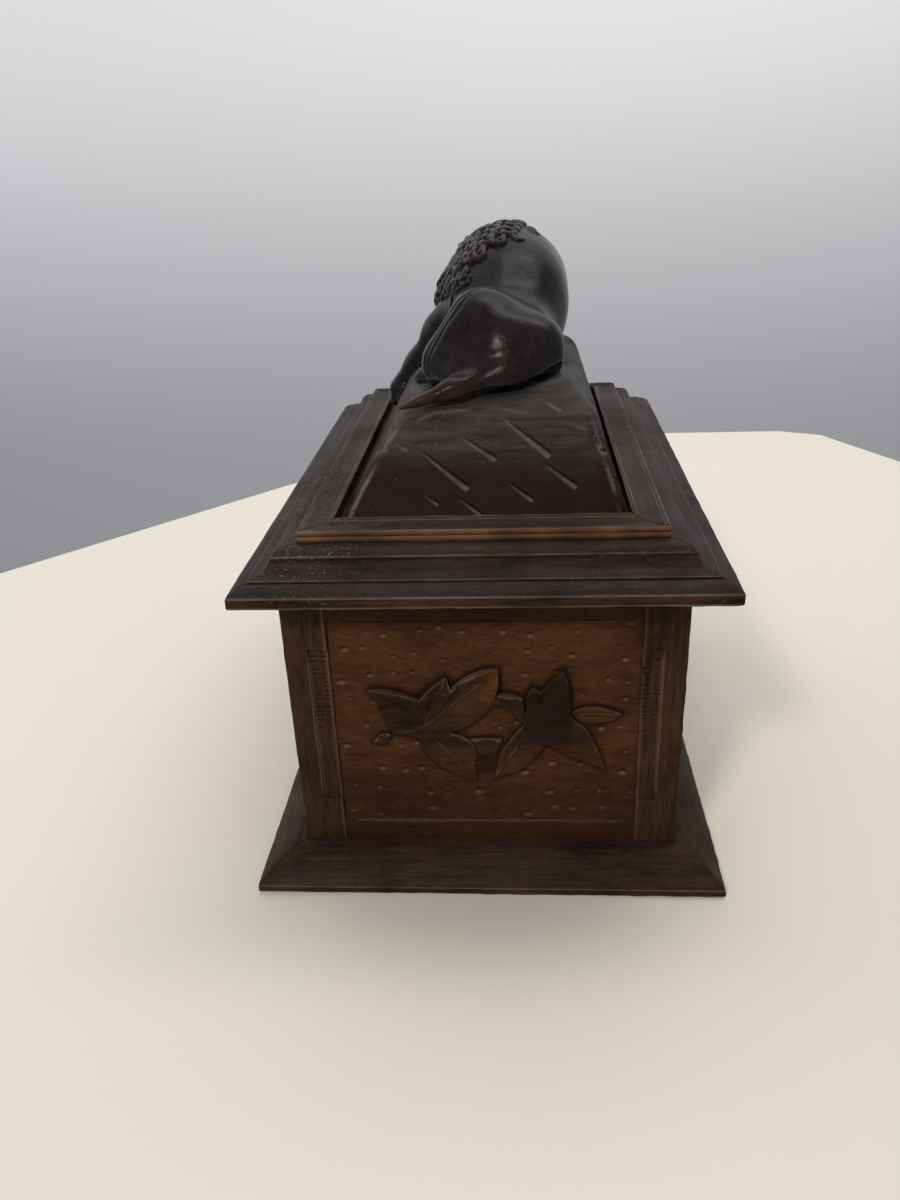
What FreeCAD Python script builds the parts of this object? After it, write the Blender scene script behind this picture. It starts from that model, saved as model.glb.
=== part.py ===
"""Carved wooden jewelry box: a plinth, four posts with carved boards between them, a moulded lid
hinged along one long side, and a lion resting on a rock on the lid.

Millimetres, +Z up. The origin is on the underside, at the middle of the plinth. -Y is the end under
the lion's tail, +Y the end under its head, -X the lock side and +X the hinge side.
"""

import FreeCAD
import Part
import math
import os

V = FreeCAD.Vector

# Body of the box
BODY_WIDTH = 100.0
BODY_LENGTH = 158.0
WALL_HEIGHT = 74.5
WALL_THICKNESS = 9.0
WALL_SETBACK = 0.3          # boards lie this far behind the faces of the posts
POST_SIZE = 11.0
TONGUE_THICKNESS = 3.0
TONGUE_DEPTH = 3.0
JOINT_CLEARANCE = 0.1       # glue room in every joint between two wooden pieces

# Carved faces of boards and posts
RAIL_BELOW = 6.5            # plain bands under and over the sunk ground
RAIL_ABOVE = 8.0
GROUND_DEPTH = 1.2
STRIP_WIDTH = 5.0           # sunk strip along the inner edge of each post face
STRIP_DEPTH = 0.8
STRIP_FROM_FOOT = 13.5
STRIP_FROM_RIM = 15.5

# Leaf sprays glued to the sunk ground
SPRAY_WIDTH = 61.0
SPRAY_MARGIN = 8.0          # least room at each side of a spray
LEAF_EDGE = 1.0
LEAF_CROWN = 2.6
TWIG_WIDTH = 2.4
TWIG_HEIGHT = 1.4

# Plinth and bottom
PLINTH_OVERHANG = 12.0
PLINTH_HEIGHT = 8.5
PLINTH_EDGE = 2.4
PLINTH_LEDGE = 3.0
PLINTH_SWELL = 0.6
PLINTH_SEAT_WIDTH = 6.0     # width of the plinth under the posts and boards
BOTTOM_THICKNESS = 4.5
BOTTOM_RECESS = 0.5
REBATE_WIDTH = 3.0

# Linings
LINING_THICKNESS = 1.5
FLOOR_LINING_THICKNESS = 1.5
LINING_BELOW_RIM = 1.5
LINING_CLEARANCE = 0.3

# Lid frame, moulded from its outer edge inwards and upwards
LID_GAP = 0.3
LID_OVERHANG = 9.8
CORNICE_WIDTH = 18.8
CORNICE_NOSE = 0.8
CORNICE_EDGE = 2.6
OVOLO_RUN = 4.4
OVOLO_RISE = 2.6
FILLET_RISE = 0.7
FILLET_TREAD = 0.8
COVE_RUN = 4.2
COVE_RISE = 3.1
CROWN_RUN = 3.6
CROWN_RISE = 1.4
LID_BOARD_THICKNESS = 6.0
LID_LINING_THICKNESS = 3.6

# Step moulding on the lid, around the rock
STEP_INSET = 15.1
STEP_WIDTH = 8.0
STEP_EDGE = 3.0
STEP_GROOVE = 0.35
STEP_LIP = 1.2
STEP_HOLLOW = 0.7
STEP_INNER_RISE = 0.5

# Rock
ROCK_GAP = 1.4
ROCK_HEIGHT = 25.6
ROCK_RUN_LOCK = 14.3        # how far each side leans in between its foot and the top
ROCK_RUN_HINGE = 7.3
ROCK_RUN_TAIL = 17.3
ROCK_RUN_HEAD = 12.3
ROCK_ROUNDING = 2.5

# Hinges
HINGE_FROM_END = 34.0       # from the end of the body to the middle of a hinge
HINGE_LENGTH = 22.0
HINGE_STANDOFF = 2.4        # from the posts' faces to the pin's axis
LEAF_THICKNESS = 1.2
LEAF_REACH = 9.0
KNUCKLE_RADIUS = 2.2
KNUCKLE_GAP = 0.15
PIN_RADIUS = 1.0
PIN_CLEARANCE = 0.05
NOTCH_CLEARANCE = 0.4
MORTISE_CLEARANCE = 0.1

# Screws
SCREW_HEAD_RADIUS = 1.9
SCREW_SHANK_RADIUS = 1.0
SCREW_LENGTH = 6.5
SCREW_HEAD_HEIGHT = 0.9
SCREW_SLOT = 0.4
HINGE_SCREW_DISTANCE = 13.0
SCREW_CLEARANCE = 0.05

# Lock
LOCK_WIDTH = 28.0
LOCK_BELOW_KEYHOLE = 4.0
LOCK_DEPTH = 6.0
LOCK_SHEET = 0.8
LOCK_FROM_LINING = 0.2
SELVEDGE_WIDTH = 38.0
SELVEDGE_THICKNESS = 1.0
SELVEDGE_MARGIN = 1.2
STAPLE_WIDTH = 3.6
STAPLE_THICKNESS = 2.0
STAPLE_DROP = 8.0
STAPLE_WALL = 0.9
STAPLE_CLEARANCE = 0.6
BOLT_LENGTH = 10.0
BOLT_HEIGHT = 3.2
BOLT_CLEARANCE = 0.15
BOLT_BACK = 1.0             # room between the staple and the drawn bolt
CATCH_WIDTH = 26.0
CATCH_DEPTH = 6.0
CATCH_THICKNESS = 1.2
CATCH_SCREW_DISTANCE = 18.0
KEYHOLE_RADIUS = 1.7
KEYHOLE_SLOT = 1.6
KEYHOLE_DROP = 5.0
ESCUTCHEON_WIDTH = 10.0
ESCUTCHEON_HEIGHT = 16.0
ESCUTCHEON_MARGIN = 1.5     # under the band above the sunk ground
ESCUTCHEON_THICKNESS = 0.8
ESCUTCHEON_PIN_RADIUS = 0.6
ESCUTCHEON_PIN_SKIN = 0.2   # wood left between the pins and the lock's bed

# Levels and reaches worked out from the sizes above
PLINTH_REACH_X = BODY_WIDTH / 2 + PLINTH_OVERHANG
PLINTH_REACH_Y = BODY_LENGTH / 2 + PLINTH_OVERHANG
FLOOR_Z = BOTTOM_RECESS + BOTTOM_THICKNESS
LINED_FLOOR_Z = FLOOR_Z + FLOOR_LINING_THICKNESS
RIM_Z = PLINTH_HEIGHT + WALL_HEIGHT
LID_Z = RIM_Z + LID_GAP
LID_REACH_X = BODY_WIDTH / 2 + LID_OVERHANG
LID_REACH_Y = BODY_LENGTH / 2 + LID_OVERHANG
CORNICE_HEIGHT = CORNICE_EDGE + OVOLO_RISE + 2 * FILLET_RISE + COVE_RISE + CROWN_RISE
LID_TOP_Z = LID_Z + CORNICE_HEIGHT
LID_BOARD_Z = LID_TOP_Z - LID_BOARD_THICKNESS
STEP_REACH_X = LID_REACH_X - STEP_INSET
STEP_REACH_Y = LID_REACH_Y - STEP_INSET
ROCK_TOP_Z = LID_TOP_Z + ROCK_HEIGHT
HINGE_X = BODY_WIDTH / 2 + HINGE_STANDOFF
HINGE_Z = RIM_Z + LID_GAP / 2
BOARD_OUT = WALL_SETBACK                        # depths behind the faces of the posts
BOARD_IN = WALL_SETBACK + WALL_THICKNESS
GROUND_IN = WALL_SETBACK + GROUND_DEPTH

# Each side is drawn facing -Y and then turned about Z, a quarter turn further for each name
SIDES = ("tail_end", "hinge_side", "head_end", "lock_side")


def is_end(side):
    return side.endswith("_end")


def turned(shape, side):
    """The shape drawn facing -Y, turned to its side of the box."""
    shape = shape.copy()
    shape.rotate(V(0, 0, 0), V(0, 0, 1), SIDES.index(side) * 360 / len(SIDES))
    return shape


def box(low, high):
    size = [b - a for a, b in zip(low, high)]
    return Part.makeBox(*size, V(*low))


def prism(points, low, high):
    """Upright prism over a plan outline."""
    outline = [V(x, y, low) for x, y in points]
    return Part.Face(Part.makePolygon(outline + outline[:1])).extrude(V(0, 0, high - low))


def face_of(edges):
    return Part.Face(Part.Wire(Part.__sortEdges__(edges)))


def path(start, *steps):
    """Edges from point to point in the (inward, up) plane. A step is a point, or (via, end) for an arc."""
    edges = []
    here = start
    for step in steps:
        if isinstance(step[0], tuple):
            via, end = step
            edges.append(Part.Arc(V(0, *here), V(0, *via), V(0, *end)).toShape())
        else:
            end = step
            edges.append(Part.LineSegment(V(0, *here), V(0, *end)).toShape())
        here = end
    return edges


def bulge(start, end, height):
    """Point beside the middle of a chord, on its left when the height is positive."""
    run, rise = end[0] - start[0], end[1] - start[1]
    length = math.hypot(run, rise)
    return ((start[0] + end[0]) / 2 - rise / length * height, (start[1] + end[1]) / 2 + run / length * height)


def mitred_strip(profile, side, reach_x, reach_y, width, level):
    """A moulding along one side, with its profile's (inward, up) origin at the outer edge, cut to mitres."""
    half, reach = (reach_x, reach_y) if is_end(side) else (reach_y, reach_x)
    section = face_of(profile)
    section.translate(V(-half, -reach, level))
    bar = section.extrude(V(2 * half, 0, 0))
    bounds = bar.BoundBox
    plan = [(-half, -reach), (half, -reach), (half - width, -reach + width), (-half + width, -reach + width)]
    return turned(bar.common(prism(plan, bounds.ZMin - 1, bounds.ZMax + 1)), side)


# Plinth and bottom

def plinth_profile():
    slope_foot = (0, PLINTH_EDGE)
    slope_head = (PLINTH_OVERHANG - PLINTH_LEDGE, PLINTH_HEIGHT)
    inner = PLINTH_OVERHANG + PLINTH_SEAT_WIDTH
    rebate = inner - REBATE_WIDTH
    return path((0, 0), slope_foot, (bulge(slope_foot, slope_head, PLINTH_SWELL), slope_head),
                (inner, PLINTH_HEIGHT), (inner, FLOOR_Z), (rebate, FLOOR_Z), (rebate, 0), (0, 0))


def plinth(side):
    width = PLINTH_OVERHANG + PLINTH_SEAT_WIDTH
    return mitred_strip(plinth_profile(), side, PLINTH_REACH_X, PLINTH_REACH_Y, width, 0)


def bottom_board():
    inset = PLINTH_OVERHANG + PLINTH_SEAT_WIDTH - REBATE_WIDTH + JOINT_CLEARANCE
    x, y = PLINTH_REACH_X - inset, PLINTH_REACH_Y - inset
    return box((-x, -y, BOTTOM_RECESS), (x, y, FLOOR_Z))


# Posts, boards and linings

def post(x_sign, y_sign):
    """Post drawn at (-X, -Y) and mirrored to its corner: grooved for two boards, sunk on two faces."""
    x, y = -BODY_WIDTH / 2, -BODY_LENGTH / 2
    solid = box((x, y, PLINTH_HEIGHT), (x + POST_SIZE, y + POST_SIZE, RIM_Z))
    middle = BOARD_OUT + WALL_THICKNESS / 2
    groove = TONGUE_THICKNESS / 2 + JOINT_CLEARANCE
    bed = POST_SIZE - TONGUE_DEPTH - JOINT_CLEARANCE
    strip = POST_SIZE - STRIP_WIDTH
    low, high = PLINTH_HEIGHT + STRIP_FROM_FOOT, RIM_Z - STRIP_FROM_RIM
    cuts = [
        box((x + bed, y + middle - groove, PLINTH_HEIGHT), (x + POST_SIZE, y + middle + groove, RIM_Z)),
        box((x + middle - groove, y + bed, PLINTH_HEIGHT), (x + middle + groove, y + POST_SIZE, RIM_Z)),
        box((x + strip, y, low), (x + POST_SIZE, y + STRIP_DEPTH, high)),
        box((x, y + strip, low), (x + STRIP_DEPTH, y + POST_SIZE, high)),
    ]
    solid = solid.cut(Part.makeCompound(cuts))
    if x_sign > 0:
        solid = solid.mirror(V(0, 0, 0), V(1, 0, 0))
    if y_sign > 0:
        solid = solid.mirror(V(0, 0, 0), V(0, 1, 0))
    return solid


def wall_reach(side):
    """Distance from the middle of the box to the posts' faces, and half the board between the posts."""
    across, along = (BODY_LENGTH, BODY_WIDTH) if is_end(side) else (BODY_WIDTH, BODY_LENGTH)
    return across / 2, along / 2 - POST_SIZE


def wall(side):
    """Board with a tongue at each end, and a sunk ground between its plain bands."""
    reach, half = wall_reach(side)
    half -= JOINT_CLEARANCE
    outer, inner = -reach + BOARD_OUT, -reach + BOARD_IN
    solid = box((-half, outer, PLINTH_HEIGHT), (half, inner, RIM_Z))
    middle = (outer + inner) / 2
    end = half + TONGUE_DEPTH
    tongue = box((-end, middle - TONGUE_THICKNESS / 2, PLINTH_HEIGHT),
                 (end, middle + TONGUE_THICKNESS / 2, RIM_Z))
    ground = box((-half, outer, PLINTH_HEIGHT + RAIL_BELOW), (half, outer + GROUND_DEPTH, RIM_Z - RAIL_ABOVE))
    return turned(solid.fuse(tongue).removeSplitter().cut(ground), side)


def wall_lining(side):
    """Lining board against the inner face of a wall. The long sides run past the ends of the short ones."""
    reach, half = wall_reach(side)
    inner = -reach + BOARD_IN
    half = half if is_end(side) else half + POST_SIZE - BOARD_IN - LINING_THICKNESS
    top = RIM_Z - LINING_BELOW_RIM
    half -= LINING_CLEARANCE
    return turned(box((-half, inner, LINED_FLOOR_Z), (half, inner + LINING_THICKNESS, top)), side)


def floor_lining():
    inset = PLINTH_OVERHANG + PLINTH_SEAT_WIDTH + LINING_CLEARANCE
    x, y = PLINTH_REACH_X - inset, PLINTH_REACH_Y - inset
    return box((-x, -y, FLOOR_Z), (x, y, LINED_FLOOR_Z))


# Leaf sprays, drawn in the (right, up) plane of a wall about the middle of its ground

# Each leaf: where its veins meet, then its edge from tip to notch to tip, anticlockwise
LEFT_LEAF = ((-15.4, 3.6), [
    (-29.8, 11.1), (-28.0, 4.5), (-26.1, -1.6), (-21.7, -2.5), (-17.6, -3.1), (-12.0, -6.5),
    (-9.0, -10.9), (-2.9, -15.4), (-3.1, -6.5), (-9.5, -1.0), (-4.0, 2.0), (-1.2, 7.5), (2.9, 11.0),
    (3.3, 15.6), (-7.3, 13.1), (-9.3, 14.5), (-15.3, 11.0), (-22.0, 11.5)])
RIGHT_LEAF = ((10.9, 1.5), [
    (7.9, 8.0), (8.8, -1.0), (6.2, -4.6), (3.5, -11.8), (2.6, -17.3), (15.2, -7.7), (19.1, -6.5),
    (25.6, -11.8), (30.5, -12.7), (25.6, -1.0), (21.0, 4.4), (20.5, 8.0), (19.4, 16.1), (14.4, 10.9),
    (12.9, 11.8)])
TWIG = [(1.8, 6.3), (5.1, 8.0), (8.1, 4.5), (10.1, 1.5), (5.8, -2.5), (2.3, -8.7), (-0.4, -10.3),
        (-2.9, -6.5), (-4.0, 0.5)]


def leaf(centre, edge, scale):
    """Lobed leaf standing on the plane y = 0 and facing -Y, rising from its edge to where its veins meet."""
    def at(point, height):
        return V(point[0] * scale, -height, point[1] * scale)

    foot = [at(point, 0) for point in edge]
    rim = [at(point, LEAF_EDGE) for point in edge]
    crown = at(centre, LEAF_CROWN)
    faces = [Part.Face(Part.makePolygon(foot + foot[:1]))]
    for here in range(len(edge)):
        wall_corners = [foot[here - 1], foot[here], rim[here], rim[here - 1], foot[here - 1]]
        faces.append(Part.Face(Part.makePolygon(wall_corners)))
        faces.append(Part.Face(Part.makePolygon([rim[here - 1], rim[here], crown, rim[here - 1]])))
    return Part.makeSolid(Part.makeShell(faces))


def rod(start, end, start_radius, end_radius):
    """Round bar from ball to ball, as one turned solid."""
    axis = end - start
    length = axis.Length
    slant = math.asin((start_radius - end_radius) / length)
    side = math.cos(slant)
    half = (math.pi / 2 + slant) / 2
    joint_a = V(start_radius * math.sin(slant), start_radius * side, 0)
    joint_b = V(length + end_radius * math.sin(slant), end_radius * side, 0)
    quarter = math.pi / 2 - slant
    via_a = V(-start_radius * math.cos(half), start_radius * math.sin(half), 0)
    via_b = V(length + end_radius * math.cos(quarter / 2), end_radius * math.sin(quarter / 2), 0)
    edges = [
        Part.Arc(V(-start_radius, 0, 0), via_a, joint_a).toShape(),
        Part.LineSegment(joint_a, joint_b).toShape(),
        Part.Arc(joint_b, via_b, V(length + end_radius, 0, 0)).toShape(),
        Part.LineSegment(V(length + end_radius, 0, 0), V(-start_radius, 0, 0)).toShape(),
    ]
    solid = Part.Face(Part.Wire(edges)).revolve(V(0, 0, 0), V(1, 0, 0), 360)
    solid.Placement = FreeCAD.Placement(start, FreeCAD.Rotation(V(1, 0, 0), axis))
    return solid


def twig(line, scale):
    """Flat twig along a line, standing on the plane y = 0 and facing -Y."""
    spots = [V(x * scale, 0, z * scale) for x, z in line]
    sides = []
    for here, spot in enumerate(spots):
        run = spots[min(here + 1, len(spots) - 1)] - spots[max(here - 1, 0)]
        across = V(-run.z, 0, run.x) * (TWIG_WIDTH * scale / 2 / run.Length)
        sides.append((spot + across, spot - across))
    outline = [left for left, _ in sides] + [right for _, right in reversed(sides)]
    return Part.Face(Part.makePolygon(outline + outline[:1])).extrude(V(0, -TWIG_HEIGHT, 0))


def leaf_spray(middle, scale, flip):
    """Two leaves and the twig between them, on the plane y = 0 about a point (right, up) of it."""
    pieces = [leaf(centre, edge, scale) for centre, edge in (LEFT_LEAF, RIGHT_LEAF)]
    pieces.append(twig(TWIG, scale))
    spray = pieces[0].multiFuse(pieces[1:])
    if flip:
        spray = spray.mirror(V(0, 0, 0), V(1, 0, 0))
    spray.translate(V(middle[0], 0, middle[1]))
    return spray


def leaf_carving(side):
    """One spray on an end, and two that mirror each other on a long side."""
    reach, half = wall_reach(side)
    level = (PLINTH_HEIGHT + RAIL_BELOW + RIM_Z - RAIL_ABOVE) / 2
    room = 2 * half if is_end(side) else half
    scale = min(1.0, (room - 2 * SPRAY_MARGIN) / SPRAY_WIDTH)
    if is_end(side):
        carving = leaf_spray((0, level), scale, False)
    else:
        pair = [leaf_spray((-half / 2, level), scale, False), leaf_spray((half / 2, level), scale, True)]
        carving = Part.makeCompound(pair)
    carving.translate(V(0, -reach + GROUND_IN, 0))
    return turned(carving, side)


# Screws

def screw(head, axis, grow=0.0):
    """Countersunk slotted screw whose flat head lies at a point and whose shank runs along an axis."""
    sink = SCREW_HEAD_RADIUS - SCREW_SHANK_RADIUS
    rim = Part.makeCylinder(SCREW_HEAD_RADIUS + grow, SCREW_HEAD_HEIGHT - sink / 2, head, axis)
    neck = head + axis * (SCREW_HEAD_HEIGHT - sink / 2)
    cone = Part.makeCone(SCREW_HEAD_RADIUS + grow, SCREW_SHANK_RADIUS + grow, sink, neck, axis)
    shank = Part.makeCylinder(SCREW_SHANK_RADIUS + grow, SCREW_LENGTH + grow, head, axis)
    solid = rim.fuse([cone, shank]).removeSplitter()
    if grow:
        return solid
    reach = SCREW_HEAD_RADIUS + 1
    slot = box((-SCREW_SLOT / 2, -reach, -SCREW_SLOT), (SCREW_SLOT / 2, reach, SCREW_SLOT))
    slot.translate(head)
    return solid.cut(slot)


def screws(places, axis, grow=0.0):
    return Part.makeCompound([screw(V(*place), axis, grow) for place in places])


UP = V(0, 0, 1)
DOWN = V(0, 0, -1)


# Hinges along the +X side

def hinge_middles():
    middle = BODY_LENGTH / 2 - HINGE_FROM_END
    return {"tail": -middle, "head": middle}


def hinge_screw_places(level):
    x = BODY_WIDTH / 2 - BOARD_OUT - WALL_THICKNESS / 2
    return [(x, middle + shift, level) for middle in hinge_middles().values()
            for shift in (-HINGE_SCREW_DISTANCE / 2, HINGE_SCREW_DISTANCE / 2)]


def knuckle_spans():
    """Lengths along the pin, from the hinge's middle: the two outer knuckles, and the one between them."""
    third = HINGE_LENGTH / 6
    half = HINGE_LENGTH / 2
    return [(-half, -third), (third, half)], [(-third + KNUCKLE_GAP, third - KNUCKLE_GAP)]


def hinge_leaf(middle, level, spans):
    """Brass leaf lying from a level upwards, with its knuckles round the axis of the pin."""
    half = HINGE_LENGTH / 2
    leaf_end = HINGE_X - KNUCKLE_RADIUS
    solid = box((HINGE_X - LEAF_REACH, middle - half, level),
                (leaf_end, middle + half, level + LEAF_THICKNESS))
    knuckles = []
    for low, high in spans:
        bridge = box((leaf_end, middle + low, level), (HINGE_X, middle + high, level + LEAF_THICKNESS))
        knuckle = Part.makeCylinder(KNUCKLE_RADIUS, high - low, V(HINGE_X, middle + low, HINGE_Z), V(0, 1, 0))
        knuckles += [bridge, knuckle]
    solid = solid.multiFuse(knuckles)
    bore_start = V(HINGE_X, middle - half - 1, HINGE_Z)
    bore = Part.makeCylinder(PIN_RADIUS + PIN_CLEARANCE, HINGE_LENGTH + 2, bore_start, V(0, 1, 0))
    return solid.cut(bore).removeSplitter()


def lower_leaf(middle):
    level = RIM_Z - LEAF_THICKNESS
    holes = screws(hinge_screw_places(RIM_Z), DOWN, SCREW_CLEARANCE)
    return hinge_leaf(middle, level, knuckle_spans()[0]).cut(holes)


def upper_leaf(middle):
    holes = screws(hinge_screw_places(LID_Z), UP, SCREW_CLEARANCE)
    return hinge_leaf(middle, LID_Z, knuckle_spans()[1]).cut(holes)


def hinge_pin(middle):
    start = V(HINGE_X, middle - HINGE_LENGTH / 2, HINGE_Z)
    return Part.makeCylinder(PIN_RADIUS, HINGE_LENGTH, start, V(0, 1, 0))


def hinge_mortises(low, high):
    """Beds for the leaves, open towards the knuckles."""
    half = HINGE_LENGTH / 2 + MORTISE_CLEARANCE
    inner = HINGE_X - LEAF_REACH - MORTISE_CLEARANCE
    return [box((inner, middle - half, low), (HINGE_X, middle + half, high))
            for middle in hinge_middles().values()]


def knuckle_notches():
    """Room in the lid's underside for the knuckles to turn in."""
    half = HINGE_LENGTH / 2 + NOTCH_CLEARANCE
    room = KNUCKLE_RADIUS + NOTCH_CLEARANCE
    return [box((HINGE_X - room, middle - half, LID_Z - 1), (HINGE_X + room, middle + half, HINGE_Z + room))
            for middle in hinge_middles().values()]


def hinge_side_wall():
    cuts = hinge_mortises(RIM_Z - LEAF_THICKNESS, RIM_Z + 1)
    cuts.append(screws(hinge_screw_places(RIM_Z), DOWN, SCREW_CLEARANCE))
    return wall("hinge_side").cut(Part.makeCompound(cuts))


# Lock in the -X wall, its case opening to the inside, with a staple on the lid

LOCK_IN_X = -BODY_WIDTH / 2 + BOARD_IN - LOCK_FROM_LINING
LOCK_OUT_X = LOCK_IN_X - LOCK_DEPTH
LOCK_MIDDLE_X = (LOCK_IN_X + LOCK_OUT_X) / 2
ESCUTCHEON_Z = RIM_Z - RAIL_ABOVE - ESCUTCHEON_MARGIN - ESCUTCHEON_HEIGHT / 2
KEYHOLE_Z = ESCUTCHEON_Z + KEYHOLE_DROP / 2
LOCK_FOOT_Z = KEYHOLE_Z - KEYHOLE_DROP - LOCK_BELOW_KEYHOLE
STAPLE_Z = LID_Z - STAPLE_DROP
BOLT_WIDTH = STAPLE_WIDTH - 2 * STAPLE_WALL - 2 * BOLT_CLEARANCE
BOLT_Z = STAPLE_Z + STAPLE_WALL + BOLT_CLEARANCE
LOCK_SCREW_Y = (SELVEDGE_WIDTH + LOCK_WIDTH) / 4


def lock_screw_places():
    return [(LOCK_MIDDLE_X, y, RIM_Z) for y in (-LOCK_SCREW_Y, LOCK_SCREW_Y)]


def selvedge(grow):
    """Top plate of the lock, let into the rim."""
    half = SELVEDGE_WIDTH / 2 + grow
    low = RIM_Z - SELVEDGE_THICKNESS
    return box((LOCK_OUT_X - SELVEDGE_MARGIN - grow, -half, low), (LOCK_IN_X, half, RIM_Z + grow))


def keyhole(from_x, to_x):
    """Round hole over a slot, cut right through between two places along X."""
    hole = Part.makeCylinder(KEYHOLE_RADIUS, to_x - from_x, V(from_x, 0, KEYHOLE_Z), V(1, 0, 0))
    half = KEYHOLE_SLOT / 2
    slot = box((from_x, -half, KEYHOLE_Z - KEYHOLE_DROP), (to_x, half, KEYHOLE_Z))
    return hole.fuse(slot)


def lock_case():
    """Case with its selvedge, a slot for the staple, a keyhole and a ledge that carries the bolt."""
    half = LOCK_WIDTH / 2
    outer = box((LOCK_OUT_X, -half, LOCK_FOOT_Z), (LOCK_IN_X, half, RIM_Z))
    room_x = (LOCK_OUT_X + LOCK_SHEET, LOCK_IN_X - LOCK_SHEET)
    room_half = half - LOCK_SHEET
    room = box((room_x[0], -room_half, LOCK_FOOT_Z + LOCK_SHEET),
               (room_x[1], room_half, RIM_Z - SELVEDGE_THICKNESS))
    ledge_top = BOLT_Z - BOLT_CLEARANCE
    ledge = box((room_x[0], -room_half, ledge_top - LOCK_SHEET),
                (room_x[1], -STAPLE_THICKNESS / 2 - STAPLE_CLEARANCE, ledge_top))
    slot_x = STAPLE_WIDTH / 2 + STAPLE_CLEARANCE
    slot_y = STAPLE_THICKNESS / 2 + STAPLE_CLEARANCE
    slot = box((LOCK_MIDDLE_X - slot_x, -slot_y, RIM_Z - SELVEDGE_THICKNESS),
               (LOCK_MIDDLE_X + slot_x, slot_y, RIM_Z))
    solid = outer.fuse(selvedge(0)).removeSplitter().cut(room).fuse(ledge).removeSplitter()
    holes = screws(lock_screw_places(), DOWN, SCREW_CLEARANCE)
    return solid.cut(Part.makeCompound([slot, keyhole(LOCK_OUT_X - 1, LOCK_OUT_X + LOCK_SHEET + 1), holes]))


def lock_bolt():
    """Bolt drawn back: it is thrown along +Y through the eye of the staple."""
    nose = -STAPLE_THICKNESS / 2 - BOLT_BACK
    half = BOLT_WIDTH / 2
    return box((LOCK_MIDDLE_X - half, nose - BOLT_LENGTH, BOLT_Z),
               (LOCK_MIDDLE_X + half, nose, BOLT_Z + BOLT_HEIGHT))


def catch_screw_places():
    return [(LOCK_MIDDLE_X, y, LID_Z) for y in (-CATCH_SCREW_DISTANCE / 2, CATCH_SCREW_DISTANCE / 2)]


def catch_bed(grow):
    half_x = CATCH_DEPTH / 2 + grow
    half_y = CATCH_WIDTH / 2 + grow
    return box((LOCK_MIDDLE_X - half_x, -half_y, LID_Z),
               (LOCK_MIDDLE_X + half_x, half_y, LID_Z + CATCH_THICKNESS))


def lid_catch():
    """Plate let into the lid's underside, with a staple that hangs into the lock."""
    half_x, half_y = STAPLE_WIDTH / 2, STAPLE_THICKNESS / 2
    staple = box((LOCK_MIDDLE_X - half_x, -half_y, STAPLE_Z), (LOCK_MIDDLE_X + half_x, half_y, LID_Z))
    eye_half = half_x - STAPLE_WALL
    eye_top = BOLT_Z + BOLT_HEIGHT + BOLT_CLEARANCE
    eye = box((LOCK_MIDDLE_X - eye_half, -half_y, STAPLE_Z + STAPLE_WALL),
              (LOCK_MIDDLE_X + eye_half, half_y, eye_top))
    holes = screws(catch_screw_places(), UP, SCREW_CLEARANCE)
    return catch_bed(0).fuse(staple.cut(eye)).removeSplitter().cut(holes)


def lock_side_wall():
    half = LOCK_WIDTH / 2 + MORTISE_CLEARANCE
    inner = -BODY_WIDTH / 2 + BOARD_IN
    bed = box((LOCK_OUT_X - MORTISE_CLEARANCE, -half, LOCK_FOOT_Z - MORTISE_CLEARANCE),
              (inner + 1, half, RIM_Z + 1))
    plate_bed = selvedge(MORTISE_CLEARANCE)
    rim_cut = box((LOCK_IN_X, -SELVEDGE_WIDTH / 2, RIM_Z - SELVEDGE_THICKNESS),
                  (inner + 1, SELVEDGE_WIDTH / 2, RIM_Z + 1))
    cuts = [bed, plate_bed, rim_cut, keyhole(-BODY_WIDTH / 2 - 1, LOCK_OUT_X),
            screws(lock_screw_places(), DOWN, SCREW_CLEARANCE), escutcheon_pins(SCREW_CLEARANCE)]
    return wall("lock_side").cut(Part.makeCompound(cuts))


GROUND_X = -BODY_WIDTH / 2 + GROUND_IN


def escutcheon_pins(grow=0.0):
    radius = ESCUTCHEON_PIN_RADIUS + grow
    rise = ESCUTCHEON_HEIGHT / 2 - 2 * ESCUTCHEON_PIN_RADIUS
    start = GROUND_X - ESCUTCHEON_THICKNESS
    length = LOCK_OUT_X - MORTISE_CLEARANCE - ESCUTCHEON_PIN_SKIN - start
    pins = [Part.makeCylinder(radius, length, V(start, 0, ESCUTCHEON_Z + shift), V(1, 0, 0))
            for shift in (-rise, rise)]
    return Part.makeCompound(pins)


def escutcheon():
    """Oval keyhole plate on the sunk ground."""
    oval = Part.Ellipse(V(0, 0, 0), ESCUTCHEON_HEIGHT / 2, ESCUTCHEON_WIDTH / 2).toShape()
    plate = Part.Face(Part.Wire([oval])).extrude(V(0, 0, ESCUTCHEON_THICKNESS))
    plate.Placement = FreeCAD.Placement(V(GROUND_X, 0, ESCUTCHEON_Z), FreeCAD.Rotation(V(0, -1, 0), 90))
    hole = keyhole(GROUND_X - 2 * ESCUTCHEON_THICKNESS, GROUND_X + ESCUTCHEON_THICKNESS)
    return plate.cut(hole).cut(escutcheon_pins(SCREW_CLEARANCE))


# Lid

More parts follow.
